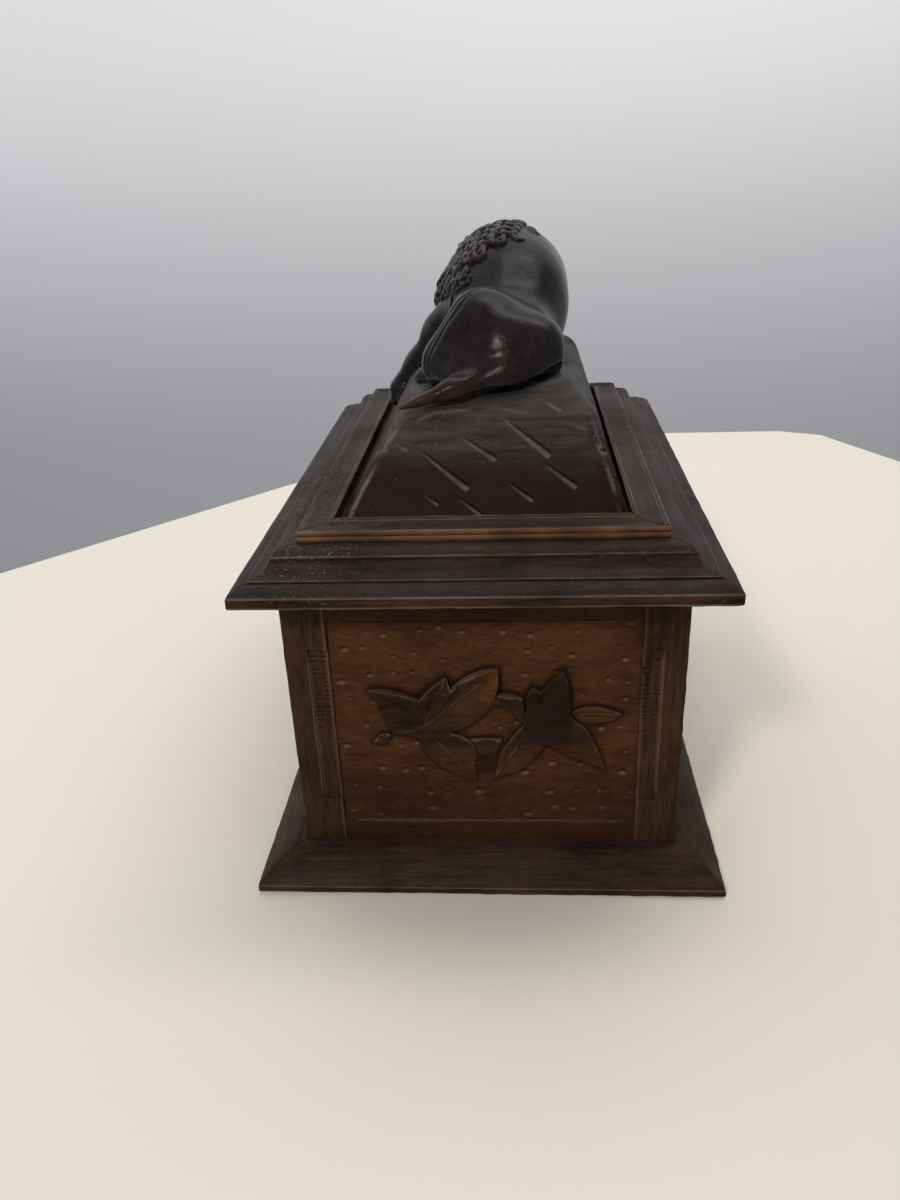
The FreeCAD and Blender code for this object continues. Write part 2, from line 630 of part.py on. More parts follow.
def cornice_profile():
    nose_end = (0, CORNICE_NOSE)
    edge = (0, CORNICE_EDGE)
    ovolo = (OVOLO_RUN, CORNICE_EDGE + OVOLO_RISE)
    fillet = (OVOLO_RUN, ovolo[1] + FILLET_RISE)
    tread = (OVOLO_RUN + FILLET_TREAD, fillet[1])
    cove = (tread[0] + COVE_RUN, tread[1] + COVE_RISE)
    second = (cove[0], cove[1] + FILLET_RISE)
    crown = (cove[0] + CROWN_RUN, CORNICE_HEIGHT)
    return path((CORNICE_NOSE, 0), (bulge((CORNICE_NOSE, 0), nose_end, 0.2 * CORNICE_NOSE), nose_end), edge,
                (bulge(edge, ovolo, 0.18 * OVOLO_RUN), ovolo), fillet, tread,
                (bulge(tread, cove, -0.2 * COVE_RUN), cove), second,
                (bulge(second, crown, 0.15 * CROWN_RUN), crown),
                (CORNICE_WIDTH, CORNICE_HEIGHT), (CORNICE_WIDTH, 0), (CORNICE_NOSE, 0))


def cornice(side):
    bar = mitred_strip(cornice_profile(), side, LID_REACH_X, LID_REACH_Y, CORNICE_WIDTH, LID_Z)
    if side == "hinge_side":
        cuts = hinge_mortises(LID_Z - 1, LID_Z + LEAF_THICKNESS) + knuckle_notches()
        cuts.append(screws(hinge_screw_places(LID_Z), UP, SCREW_CLEARANCE))
        bar = bar.cut(Part.makeCompound(cuts))
    if side == "lock_side":
        bar = bar.cut(catch_bed(MORTISE_CLEARANCE)).cut(screws(catch_screw_places(), UP, SCREW_CLEARANCE))
    return bar


def lid_board():
    inset = CORNICE_WIDTH + JOINT_CLEARANCE
    x, y = LID_REACH_X - inset, LID_REACH_Y - inset
    return box((-x, -y, LID_BOARD_Z), (x, y, LID_TOP_Z))


def lid_lining():
    inset = CORNICE_WIDTH + LINING_CLEARANCE
    x, y = LID_REACH_X - inset, LID_REACH_Y - inset
    return box((-x, -y, LID_BOARD_Z - LID_LINING_THICKNESS), (x, y, LID_BOARD_Z))


def step_profile():
    groove = STEP_EDGE / 2
    lip = (STEP_LIP, STEP_EDGE)
    inner = (STEP_WIDTH, STEP_EDGE + STEP_INNER_RISE)
    return path((0, 0), (0, groove - STEP_GROOVE), (STEP_GROOVE, groove), (0, groove + STEP_GROOVE),
                (0, STEP_EDGE), lip, (bulge(lip, inner, -STEP_HOLLOW), inner), (STEP_WIDTH, 0), (0, 0))


def step_moulding(side):
    return mitred_strip(step_profile(), side, STEP_REACH_X, STEP_REACH_Y, STEP_WIDTH, LID_TOP_Z)


# Rock and lion

def rock_foot():
    """Lowest and highest corner of the rock's foot, on the lid board inside the step moulding."""
    x = STEP_REACH_X - STEP_WIDTH - ROCK_GAP
    y = STEP_REACH_Y - STEP_WIDTH - ROCK_GAP
    return (-x, -y), (x, y)


def rock_head():
    """Lowest and highest corner of the rock's top."""
    (low_x, low_y), (high_x, high_y) = rock_foot()
    return (low_x + ROCK_RUN_LOCK, low_y + ROCK_RUN_TAIL), (high_x - ROCK_RUN_HINGE, high_y - ROCK_RUN_HEAD)


def rock_corner():
    """Corner of the rock's top at its lock side and tail end."""
    return V(*rock_head()[0], ROCK_TOP_Z)


# Swelling of the rock under the lion's haunch, a round bar like those of the lion
MOUND = ((18.0, 15.0, -7.0), 10.4, (36.0, 16.0, -5.6), 10.6)


def rock():
    """Leaning block that the lion lies on, with a mound at its tail end."""
    outlines = []
    for (low, high), level in ((rock_foot(), LID_TOP_Z), (rock_head(), ROCK_TOP_Z)):
        corners = [V(low[0], low[1], level), V(high[0], low[1], level),
                   V(high[0], high[1], level), V(low[0], high[1], level)]
        outlines.append(Part.makePolygon(corners + corners[:1]))
    block = Part.makeLoft(outlines, True, True)
    rounded = [edge for edge in block.Edges if edge.BoundBox.ZMax > LID_TOP_Z + 1]
    start, start_radius, end, end_radius = MOUND
    corner = rock_corner()
    mound = rod(corner + V(*start), corner + V(*end), start_radius, end_radius)
    return block.makeFillet(ROCK_ROUNDING, rounded).fuse(mound)


# Lion, as round bars from ball to ball: (start, radius, end, radius), measured from the rock's corner
LION = {
    "loins": ((28.0, 27.0, 9.5), 12.4, (27.5, 46.0, 12.8), 13.9),
    "chest": ((27.5, 46.0, 12.5), 14.2, (26.5, 66.0, 14.0), 14.6),
    "withers": ((28.0, 55.0, 19.6), 17.0, (28.0, 63.0, 20.7), 16.9),
    "rump": ((26.5, 17.5, 11.5), 10.9, (33.6, 18.0, 10.9), 9.1),
    "thigh": ((21.0, 22.0, 16.8), 9.5, (12.6, 20.8, 7.6), 7.4),
    "shank": ((12.0, 24.0, 5.0), 6.0, (31.0, 14.5, 6.0), 5.2),
    "hind_foot": ((11.0, 26.0, 2.6), 4.2, (1.6, 33.3, 1.4), 3.6),
    "tail": ((38.0, 15.5, 6.8), 2.6, (27.0, 7.4, 5.8), 3.0),
    "tail_tuft": ((27.0, 7.4, 5.8), 3.0, (13.5, 4.2, 3.8), 3.2),
    "tail_tip": ((13.5, 4.2, 3.8), 3.2, (0.6, -0.4, 0.4), 0.8),
    "draped_shoulder": ((18.0, 60.0, 13.0), 9.8, (9.0, 58.5, 8.4), 7.0),
    "draped_foreleg": ((9.5, 58.5, 8.0), 6.4, (0.6, 60.0, -1.2), 4.6),
    "draped_paw": ((0.6, 60.0, -1.2), 4.5, (-6.0, 60.3, -8.8), 4.6),
    "resting_shoulder": ((34.2, 65.2, 12.3), 9.5, (37.0, 67.2, 6.7), 6.9),
    "resting_foreleg": ((36.8, 67.8, 5.1), 6.0, (33.0, 88.0, 3.2), 4.4),
    "resting_paw": ((33.0, 88.5, 2.4), 4.7, (32.0, 94.0, 1.8), 4.4),
    "neck": ((26.0, 66.0, 17.0), 15.4, (25.0, 77.0, 21.0), 12.3),
    "mane_top": ((27.5, 62.0, 21.0), 16.4, (25.0, 74.0, 23.5), 12.6),
    "mane_lock_side": ((17.0, 69.0, 15.5), 10.7, (17.0, 80.0, 15.0), 8.2),
    "mane_hinge_side": ((34.0, 71.0, 15.0), 8.6, (32.0, 80.0, 15.0), 7.5),
    "brisket": ((25.0, 58.0, 6.0), 10.5, (24.0, 76.0, 4.5), 8.5),
    "mane_beard": ((24.0, 78.0, 10.0), 8.8, (21.5, 84.0, 7.0), 6.2),
    "skull": ((24.6, 78.6, 21.9), 10.2, (23.1, 83.4, 21.5), 9.6),
    "muzzle": ((21.0, 90.6, 16.8), 5.6, (19.4, 95.4, 14.4), 4.6),
    "bridge": ((21.9, 87.6, 23.4), 3.6, (18.9, 95.2, 17.8), 3.0),
}


def lion():
    """Resting lion, trimmed to the rock that it lies on."""
    corner = rock_corner()
    bars = [rod(corner + V(*start), corner + V(*end), start_radius, end_radius)
            for start, start_radius, end, end_radius in LION.values()]
    body = bars[0].multiFuse(bars[1:])
    return body.cut(rock())


def build():
    corners = {"tail_lock": (-1, -1), "tail_hinge": (1, -1), "head_lock": (-1, 1), "head_hinge": (1, 1)}
    nodes = {
        "bottom_board": bottom_board(),
        "floor_lining": floor_lining(),
        "lid_board": lid_board(),
        "lid_lining": lid_lining(),
        "rock": rock(),
        "lion": lion(),
        "hinge_lower_screws": screws(hinge_screw_places(RIM_Z), DOWN),
        "hinge_upper_screws": screws(hinge_screw_places(LID_Z), UP),
        "lock_case": lock_case(),
        "lock_bolt": lock_bolt(),
        "lock_screws": screws(lock_screw_places(), DOWN),
        "lid_catch": lid_catch(),
        "lid_catch_screws": screws(catch_screw_places(), UP),
        "escutcheon": escutcheon(),
        "escutcheon_pins": escutcheon_pins(),
    }
    for name, signs in corners.items():
        nodes["post_" + name] = post(*signs)
    special_walls = {"hinge_side": hinge_side_wall, "lock_side": lock_side_wall}
    for side in SIDES:
        nodes["plinth_" + side] = plinth(side)
        nodes["wall_" + side] = special_walls[side]() if side in special_walls else wall(side)
        nodes["lining_" + side] = wall_lining(side)
        nodes["leaves_" + side] = leaf_carving(side)
        nodes["cornice_" + side] = cornice(side)
        nodes["step_" + side] = step_moulding(side)
    for name, middle in hinge_middles().items():
        nodes["hinge_lower_leaf_" + name] = lower_leaf(middle)
        nodes["hinge_upper_leaf_" + name] = upper_leaf(middle)
        nodes["hinge_pin_" + name] = hinge_pin(middle)
    return nodes


os.makedirs("parts", exist_ok=True)
for name, shape in build().items():
    shape.exportStep(os.path.join("parts", name + ".step"))
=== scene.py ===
"""Finished looks of the carved jewelry box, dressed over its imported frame.

Shapes are drawn in millimetres, each side of the box facing -Y, and become metres when a piece is made.
"""

from collections import namedtuple
import math

import bmesh
import bpy
import numpy as np
import openvdb
from mathutils import Matrix, Vector
from mathutils.geometry import delaunay_2d_cdt


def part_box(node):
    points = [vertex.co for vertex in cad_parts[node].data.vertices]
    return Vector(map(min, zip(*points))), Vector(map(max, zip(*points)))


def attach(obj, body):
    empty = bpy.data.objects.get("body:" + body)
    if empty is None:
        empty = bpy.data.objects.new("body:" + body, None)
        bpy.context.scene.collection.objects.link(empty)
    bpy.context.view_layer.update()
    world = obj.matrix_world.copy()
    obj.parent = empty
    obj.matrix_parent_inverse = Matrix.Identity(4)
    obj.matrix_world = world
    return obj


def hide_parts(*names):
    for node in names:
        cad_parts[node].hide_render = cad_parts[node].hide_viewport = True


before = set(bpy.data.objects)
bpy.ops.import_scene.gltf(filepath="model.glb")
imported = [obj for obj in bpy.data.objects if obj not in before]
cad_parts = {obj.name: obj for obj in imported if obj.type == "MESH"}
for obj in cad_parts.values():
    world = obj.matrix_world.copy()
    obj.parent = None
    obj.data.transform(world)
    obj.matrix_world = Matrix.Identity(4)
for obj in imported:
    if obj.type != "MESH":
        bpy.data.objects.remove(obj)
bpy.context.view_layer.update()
MM = 0.001
SIDES = ("tail_end", "hinge_side", "head_end", "lock_side")
AXIS = {"tail_end": "x", "hinge_side": "y", "head_end": "x", "lock_side": "y"}
SEEDS = {"plinth": 3, "cornice": 11, "step": 23, "board": 41, "post": 61, "leaf": 5}


# Sizes read from the frame

def node_box(*names):
    """Lowest and highest corners of some nodes together, in millimetres."""
    boxes = [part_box(name) for name in names]
    low = np.min([np.array(low) for low, _ in boxes], axis=0) / MM
    high = np.max([np.array(high) for _, high in boxes], axis=0) / MM
    return low, high


def four(kind):
    return [f"{kind}_{side}" for side in SIDES]


POSTS = {"tail_lock": (-1, -1), "tail_hinge": (1, -1), "head_hinge": (1, 1), "head_lock": (-1, 1)}
PLINTH_LOW, PLINTH_HIGH = node_box(*four("plinth"))
BODY_LOW, BODY_HIGH = node_box(*[f"post_{corner}" for corner in POSTS])
LID_LOW, LID_HIGH = node_box(*four("cornice"))
STEP_LOW, STEP_HIGH = node_box(*four("step"))
GROUND_DEPTH = 1.5          # sunk ground, behind the faces of the posts
BOARD_SETBACK = 0.3
POST_SIZE = 11.0


def reach_of(high, side):
    """How far a side's face stands from the middle, and half its length."""
    return (high[1], high[0]) if side.endswith("_end") else (high[0], high[1])


def turned(points, side):
    """Points drawn for the tail end, carried round to another side of the box."""
    angle = SIDES.index(side) * math.pi / 2
    cos, sin = round(math.cos(angle)), round(math.sin(angle))
    return np.asarray(points) @ np.array([[cos, sin, 0], [-sin, cos, 0], [0, 0, 1]])


def turned_back(points, side):
    return turned(points, SIDES[-SIDES.index(side)])


# Numbers that shape surfaces

NOISE_MIX = (73856093, 19349663, 83492791, 1274126177)     # large numbers that scatter the noise's cells


def soft_noise(points, cell, seed):
    """Smooth noise from -1 to 1, with swells about one cell wide."""
    spots = np.asarray(points) / cell + seed * 17.31
    base = np.floor(spots).astype(np.int64)
    part = spots - base
    part = part * part * (3 - 2 * part)
    height = np.zeros(spots.shape[:-1])
    for corner in np.ndindex(2, 2, 2):
        key = base + np.array(corner)
        mixed = (key[..., 0] * NOISE_MIX[0]) ^ (key[..., 1] * NOISE_MIX[1]) ^ (key[..., 2] * NOISE_MIX[2])
        mixed = (mixed ^ (mixed >> 13)) * NOISE_MIX[3]
        value = ((mixed ^ (mixed >> 16)) & 0xFFFF) / 32767.5 - 1
        height += value * np.prod(np.where(np.array(corner, bool), part, 1 - part), axis=-1)
    return height


def swells(points, seed, layers):
    """Unevenness of a hand-worked surface, from the (height, width) of each layer of noise."""
    return sum(height * soft_noise(points, width, seed + number)
               for number, (height, width) in enumerate(layers))


def smooth_step(value, low, high):
    share = np.clip((value - low) / (high - low), 0, 1)
    return share * share * (3 - 2 * share)


def between(value, rise, risen, fall, fallen):
    """Share that rises from 0 to 1 at one place and falls back at another."""
    return smooth_step(value, rise, risen) * smooth_step(-value, -fallen, -fall)


def bell(gap, width):
    return np.exp(-(gap / width) ** 2)


# Lines and outlines

def even_shares(length, gap):
    """Shares of a length, from 0 on, about one gap apart."""
    count = max(1, round(length / gap))
    return np.arange(count) / count


def trace(corners, gap):
    """Closed outline through (inward, up, bulge) corners, where bulge is how far the next run bows out."""
    points = []
    for here, corner in enumerate(corners):
        start = np.array(corner[:2], float)
        run = np.array(corners[(here + 1) % len(corners)][:2], float) - start
        length = np.hypot(*run)
        share = even_shares(length, gap)
        bow = 4 * corner[2] * share * (1 - share)
        points.append(start + share[:, None] * run + bow[:, None] * np.array([-run[1], run[0]]) / length)
    return np.concatenate(points)


def outward(outline):
    """Unit normals of a closed outline that runs up its outer side first."""
    run = np.roll(outline, -1, axis=0) - np.roll(outline, 1, axis=0)
    return np.stack([-run[:, 1], run[:, 0]], axis=1) / np.linalg.norm(run, axis=1)[:, None]


def curve_through(points, sharp, gap, closed):
    """Points along a smooth line through given points, breaking its run at the sharp ones."""
    spots = np.array(points, float)
    count = len(spots)
    line = []
    for here in range(count if closed else count - 1):
        a, b = spots[here], spots[(here + 1) % count]
        before = spots[here - 1] if (closed or here > 0) else a
        after = spots[(here + 2) % count] if (closed or here + 2 < count) else b
        start = (b - a) if sharp[here] else (b - before) / 2
        end = (b - a) if sharp[(here + 1) % count] else (after - a) / 2
        t = even_shares(np.linalg.norm(b - a), gap)[:, None]
        line.append(a * (2 * t ** 3 - 3 * t ** 2 + 1) + start * (t ** 3 - 2 * t ** 2 + t)
                    + b * (3 * t ** 2 - 2 * t ** 3) + end * (t ** 3 - t ** 2))
    if not closed:
        line.append(spots[-1:])
    return np.concatenate(line)


def gap_to_line(points, line):
    """Distance from each point to a line of points, and how far along it the nearest place is."""
    best = np.full(len(points), np.inf)
    along = np.zeros(len(points))
    travelled = 0.0
    for a, b in zip(line[:-1], line[1:]):
        run = b - a
        length = np.linalg.norm(run)
        share = np.clip((points - a) @ run / length ** 2, 0, 1)
        gap = np.linalg.norm(points - a - share[:, None] * run, axis=1)
        nearer = gap < best
        best[nearer] = gap[nearer]
        along[nearer] = travelled + share[nearer] * length
        travelled += length
    return best, along


def gap_to_ring(points, ring):
    """Distance from each point to a closed line."""
    return gap_to_line(points, np.concatenate([ring, ring[:1]]))[0]


def skin(loops):
    """Points and faces of a closed bar through loops of equal length, capped at both ends."""
    count, around = loops.shape[:2]
    index = np.arange(count * around).reshape(count, around)
    after = np.roll(index, -1, axis=1)
    quads = np.stack([index[:-1], after[:-1], after[1:], index[1:]], axis=-1).reshape(-1, 4)
    return loops.reshape(-1, 3), quads.tolist() + [index[0][::-1].tolist(), index[-1].tolist()]


def join(parts):
    """Points and faces of several shapes taken together."""
    points, faces, count = [], [], 0
    for part_points, part_faces in parts:
        points.append(part_points)
        faces += [[corner + count for corner in face] for face in part_faces]
        count += len(part_points)
    return np.concatenate(points), faces


CRISP = 0.12                # run of a crisp carved step


def fine_marks(low, high, gap, crisp=()):
    """Evenly spaced marks from low to high, closer at each crisp place so that a step there stays sharp."""
    marks = list(np.linspace(low, high, max(2, round((high - low) / gap) + 1)))
    for place in crisp:
        marks = [spot for spot in marks if abs(spot - place) > gap * 0.5]
        marks += [place - CRISP, place, place + CRISP]
    return np.array(sorted(marks))


# Pieces

def mesh_of(name, points, faces):
    mesh = bpy.data.meshes.new(name)
    mesh.from_pydata(np.asarray(points, float) * MM, [], faces)
    shaped = bmesh.new()
    shaped.from_mesh(mesh)
    bmesh.ops.recalc_face_normals(shaped, faces=shaped.faces)
    shaped.to_mesh(mesh)
    shaped.free()
    return mesh


def box_mesh(name, low, high, rounding=0.0):
    """Box between its lowest and highest corners, its edges rounded where a rounding is given."""
    shape = bmesh.new()
    middle = Matrix.Translation(Vector((low + high) / 2 * MM))
    size = Matrix.Diagonal(Vector((*((high - low) * MM), 1)))
    bmesh.ops.create_cube(shape, size=1, matrix=middle @ size)
    if rounding:
        edges = list(shape.edges)
        bmesh.ops.bevel(shape, geom=edges, offset=rounding * MM, segments=4, profile=0.5, affect="EDGES")
    mesh = bpy.data.meshes.new(name)
    shape.to_mesh(mesh)
    shape.free()
    return mesh


def piece_of(mesh, material):
    piece = bpy.data.objects.new(mesh.name, mesh)
    bpy.context.scene.collection.objects.link(piece)
    mesh.materials.clear()
    mesh.materials.append(material)
    return piece


def mesh_arrays(mesh):
    """Points and normals in millimetres, and edges."""
    points = np.empty((len(mesh.vertices), 3))
    mesh.vertices.foreach_get("co", points.ravel())
    normals = np.empty((len(mesh.vertices), 3))
    mesh.vertex_normals.foreach_get("vector", normals.ravel())
    edges = np.empty((len(mesh.edges), 2), int)
    mesh.edges.foreach_get("vertices", edges.ravel())
    return points / MM, normals, edges


def spread(values, edges, rounds):
    """Each point's value averaged with those of its neighbours, a number of times."""
    ends = np.concatenate([edges[:, 0], edges[:, 1]])
    others = np.concatenate([edges[:, 1], edges[:, 0]])
    count = np.maximum(np.bincount(ends, minlength=len(values)), 1)
    for _ in range(rounds):
        near = [np.bincount(ends, column[others], len(values)) for column in values.T]
        values = (values + np.stack(near, axis=1) / count[:, None]) / 2
    return values


def relief(mesh, rounds):
    """How far each point stands proud of the surface around it, in millimetres."""
    points, normals, edges = mesh_arrays(mesh)
    return np.einsum("ij,ij->i", points - spread(points, edges, rounds), normals)


SHARP_ROUNDS = 4            # how wide a surface an edge is compared with
SHARP_LIFT = 0.08           # an edge that stands this proud is rubbed in full
RUBBED_RUN = 3.0            # length of the rubbed and the spared stretches


def wear(mesh, depth, seed):
    """Rub the sharp edges of a wooden piece down unevenly."""
    points, normals, _ = mesh_arrays(mesh)
    sharp = np.clip(relief(mesh, SHARP_ROUNDS) / SHARP_LIFT, 0, 1)
    rubbed = depth * sharp * np.clip(0.45 + soft_noise(points, RUBBED_RUN, seed) * 0.9, 0, 1)
    points = (points - normals * rubbed[:, None]) * MM
    mesh.vertices.foreach_set("co", points.ravel())
    mesh.update()


def mark(mesh, name, value):
    """Write a number at each point of a mesh, for the finish to read."""
    layer = mesh.attributes.get(name) or mesh.attributes.new(name, "FLOAT", "POINT")
    layer.data.foreach_set("value", np.asarray(value, np.float32))


def mark_more(mesh, name, share):
    """Add to what a mesh is marked with already."""
    old = np.empty(len(mesh.vertices), np.float32)
    mesh.attributes[name].data.foreach_get("value", old)
    mark(mesh, name, np.maximum(old, share))


def mark_patina(mesh, rounds, depth, down_facing_share=1.0):
    """Mark how proud or how hollow the surface is at each point, from 0 to 1.

    down_facing_share is the share of the rubbed mark that is left on edges that face down; below one,
    the pale rubbed edges that face up are partly a painted highlight.
    """
    lift = relief(mesh, rounds) / depth
    facing = mesh_arrays(mesh)[1][:, 2]
    kept = down_facing_share + (1 - down_facing_share) * smooth_step(facing, -0.1, 0.5)
    mark(mesh, "proud", np.clip(lift, 0, 1) * kept)
    mark(mesh, "hollow", np.clip(-lift, 0, 1))


def dress(piece, body, nodes, crease=40):
    """Shade a finished piece, hang it on its body and hide the frame's nodes that it stands for."""
    piece.data.shade_smooth()
    piece.data.set_sharp_from_angle(angle=math.radians(crease))
    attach(piece, body)
    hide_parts(*nodes)


def finish_mesh(piece):
    """Work a piece's modifiers into its mesh."""
    bpy.context.view_layer.update()
    graph = bpy.context.evaluated_depsgraph_get()
    mesh = bpy.data.meshes.new_from_object(piece.evaluated_get(graph))
    piece.modifiers.clear()
    mesh.name = piece.name
    piece.data = mesh


def thin_out(piece, share):
    """Merge faces where the surface is plain, down to a share of their number."""
    merge = piece.modifiers.new("merge", "DECIMATE")
    merge.ratio = share
    finish_mesh(piece)


def cut_boxes(piece, boxes):
    """Cut boxes, given by their lowest and highest corners, out of a piece one after another."""
    cutters = []
    for low, high in boxes:
        cutter = bpy.data.objects.new("cutter", box_mesh("cutter", low, high))
        bpy.context.scene.collection.objects.link(cutter)
        cut = piece.modifiers.new("cut", "BOOLEAN")
        cut.operation = "DIFFERENCE"
        cut.solver = "EXACT"
        cut.object = cutter
        cutters.append(cutter)
    finish_mesh(piece)
    for cutter in cutters:
        bpy.data.objects.remove(cutter)


# Nodes, for finishes and for punched marks

def connect(tree, socket, value):
    """Link a socket to another one, or set its value."""
    if isinstance(value, bpy.types.NodeSocket):
        tree.links.new(value, socket)
    else:
        socket.default_value = value


def add(tree, kind, values=None, **settings):
    """New node with its settings, and with each named or numbered socket set or linked."""
    node = tree.nodes.new(kind)
    for name, value in settings.items():
        setattr(node, name, value)
    for name, value in (values or {}).items():
        connect(tree, node.inputs[name], value)
    return node


def worked(tree, operation, first, *others):
    """Numbers taken together one after another."""
    for other in others:
        first = add(tree, "ShaderNodeMath", {0: first, 1: other}, operation=operation).outputs[0]
    return first


def product(tree, *values):
    return worked(tree, "MULTIPLY", *values)


def total(tree, *values):
    return worked(tree, "ADD", *values)


def span(tree, value, low, high, to_low=0.0, to_high=1.0):
    values = {"Value": value, "From Min": low, "From Max": high, "To Min": to_low, "To Max": to_high}
    return add(tree, "ShaderNodeMapRange", values, interpolation_type="SMOOTHSTEP").outputs["Result"]


def blend(tree, share, under, over):
    """One colour laid over another by a share; a colour is a socket or a tuple."""
    node = add(tree, "ShaderNodeMix", data_type="RGBA")
    sockets = {socket.name: socket for socket in node.inputs if socket.enabled}
    connect(tree, sockets["Factor"], share)
    for name, colour in (("A", under), ("B", over)):
        connect(tree, sockets[name], (*colour, 1) if isinstance(colour, tuple) else colour)
    return next(socket for socket in node.outputs if socket.enabled)


def noise(tree, vector, scale, detail, roughness, distortion=0.0):
    values = {"Vector": vector, "Scale": scale, "Detail": detail, "Roughness": roughness,
              "Distortion": distortion}
    return add(tree, "ShaderNodeTexNoise", values).outputs["Fac"]


def marked(tree, name):
    """What a piece is marked with under a name."""
    return add(tree, "ShaderNodeAttribute", attribute_name=name).outputs["Fac"]


def axis_of(tree, vector, axis):
    return add(tree, "ShaderNodeSeparateXYZ", {"Vector": vector}).outputs[axis]


def roughen(tree, shader, height, strength, distance):
    """Let a pattern stand out of a surface by a distance."""
    bump = add(tree, "ShaderNodeBump", {"Height": height, "Strength": strength, "Distance": distance})
    tree.links.new(bump.outputs["Normal"], shader.inputs["Normal"])


def new_finish(name):
    """Empty finish, with its nodes, its shader and the place on the piece."""
    material = bpy.data.materials.new(name)
    material.use_nodes = True
    tree = material.node_tree
    place = add(tree, "ShaderNodeTexCoord").outputs["Object"]
    return material, tree, tree.nodes["Principled BSDF"], place


# Finishes

GRAIN = {"x": (0.12, 1.0, 1.0), "y": (1.0, 0.12, 1.0), "z": (1.0, 1.0, 0.12), "level": (0.08, 0.08, 1.0),
         "short_x": (0.3, 1.0, 1.0), "short_y": (1.0, 0.3, 1.0)}
FIBRES = (1400, 5, 0.6)     # scale, detail, roughness and distortion of each pattern
STREAKS = (300, 4, 0.6, 0.4)
MOTTLE = (800, 3, 0.7, 0.6)
PATCHES = (45, 4, 0.6)
DUST_FLECKS = (1100, 3, 0.75)
DUST_FIELDS = (28, 2, 0.5)
METAL_STAINS = (180, 6, 0.65)
METAL_SCRATCHES = (2500, 2, 0.5)
BRUSHED_PILE = (38, 5, 0.6, 0.8)
PILE_TUFTS = (2600, 2, 0.6)
STAGE_GRIT = (160, 3, 0.5)
FILM_AND_SHEEN = (0.0145, 0.0162, 0.0166)     # old wax and dust on what faces up, and a painted grey-blue sheen there
DUST = (0.2, 0.18, 0.155)
# dark colour of dirt in hollows, also used for painted shade
GRIME_AND_SHADE = (0.008, 0.0045, 0.003)
LOW_TONE_SWAY = 0.02        # how far the edge of a low tone wanders up and down, in metres
DUST_EDGE = 0.03            # dust thins out from this far on the lock side to this far on the hinge side


def stained_wood(name, grain_along, palette, gloss=0.45, shine=0.1, wear_share=0.6, grime_share=0.4,
                 fibre_share=0.5, grit=0.2, film=0.0, dust=0.0, rail_shade=0.0, low_tone=None, tint=None):
    """Stained and waxed wood: streaked along the grain, rubbed on proud edges, and darkened where marked
    hollow, by dirt and, on some pieces, by painted shade.

    film is how much old wax, dust and painted grey-blue sheen lies on what faces up, and dust
    is how much dust lies on it. rail_shade is painted shade that darkens what isn't sunk. low_tone is a
    colour that takes over below some height: the colour, then where it is full and where it ends. tint is
    a colour that the mark "tint" brings in, which on some pieces is painted light.
    """
    material, tree, shader, place = new_finish(name)
    grain = add(tree, "ShaderNodeMapping", {"Vector": place, "Scale": GRAIN[grain_along]}).outputs["Vector"]
    fibres = noise(tree, grain, *FIBRES)
    streaks = noise(tree, grain, *STREAKS)
    mottle = noise(tree, grain, *MOTTLE)
    patches = noise(tree, place, *PATCHES)
    tone = total(tree, product(tree, streaks, 0.3), product(tree, patches, 0.4), product(tree, mottle, 0.45))
    colour = blend(tree, span(tree, tone, 0.42, 0.74), palette.dark, palette.light)
    if low_tone:
        low_colour, full, none = low_tone
        height = total(tree, axis_of(tree, place, "Z"), product(tree, patches, -LOW_TONE_SWAY))
        edge = [level * MM - LOW_TONE_SWAY / 2 for level in (full, none)]
        share = product(tree, span(tree, height, *edge, 0.95, 0.0), span(tree, tone, 0.4, 0.7, 0.75, 1.0))
        colour = blend(tree, share, colour, low_colour)
    # painted grey-blue sheen, with old wax and dust, on what faces up
    if film:
        up = axis_of(tree, place.node.outputs["Normal"], "Z")
        uneven = span(tree, patches, 0.32, 0.68, film * 0.45, film)
        colour = blend(tree, product(tree, span(tree, up, 0.1, 0.9), uneven), colour, FILM_AND_SHEEN)
    colour = blend(tree, span(tree, fibres, 0.52, 0.75, 0.0, fibre_share), colour, palette.grime)
    # painted shade on what isn't sunk: the rails, shadowed by the lid's overhang
    if rail_shade:
        shade = span(tree, marked(tree, "sunk"), 0.2, 0.9, rail_shade, 0.0)
        colour = blend(tree, shade, colour, palette.grime)
    if tint:
        uneven = span(tree, mottle, 0.3, 0.6, 0.55, 1.0)
        colour = blend(tree, product(tree, marked(tree, "tint"), uneven), colour, tint)
    uneven = span(tree, patches, 0.3, 0.65, 0.3 * wear_share, wear_share)
    rubbed = product(tree, span(tree, marked(tree, "proud"), 0.2, 0.95), uneven)
    colour = blend(tree, rubbed, colour, palette.worn)
    # dirt in hollows, and painted shade where a piece marks shade as hollow
    filled = span(tree, marked(tree, "hollow"), 0.1, 0.8, 0.0, grime_share)
    colour = blend(tree, filled, colour, palette.grime)
    if dust:
        flecks = span(tree, noise(tree, place, *DUST_FLECKS), 0.58, 0.72)
        fields = span(tree, noise(tree, place, *DUST_FIELDS), 0.4, 0.6, 0.15, 1.0)
        beside = span(tree, axis_of(tree, place, "X"), -DUST_EDGE, DUST_EDGE, 1.0, 0.25)
        colour = blend(tree, product(tree, flecks, fields, beside, dust), colour, DUST)
    tree.links.new(colour, shader.inputs["Base Color"])
    tree.links.new(span(tree, patches, 0.3, 0.7, gloss + 0.08, gloss - 0.06), shader.inputs["Roughness"])
    roughen(tree, shader, total(tree, fibres, product(tree, mottle, 0.8)), 0.35, grit * MM)
    shader.inputs["Specular IOR Level"].default_value = shine
    return material


def both_ways(name, palette, kind="", **settings):
    """The same wood with its grain along x and along y."""
    return {axis: stained_wood(f"{name}_{axis}", kind + axis, palette, **settings) for axis in "xy"}


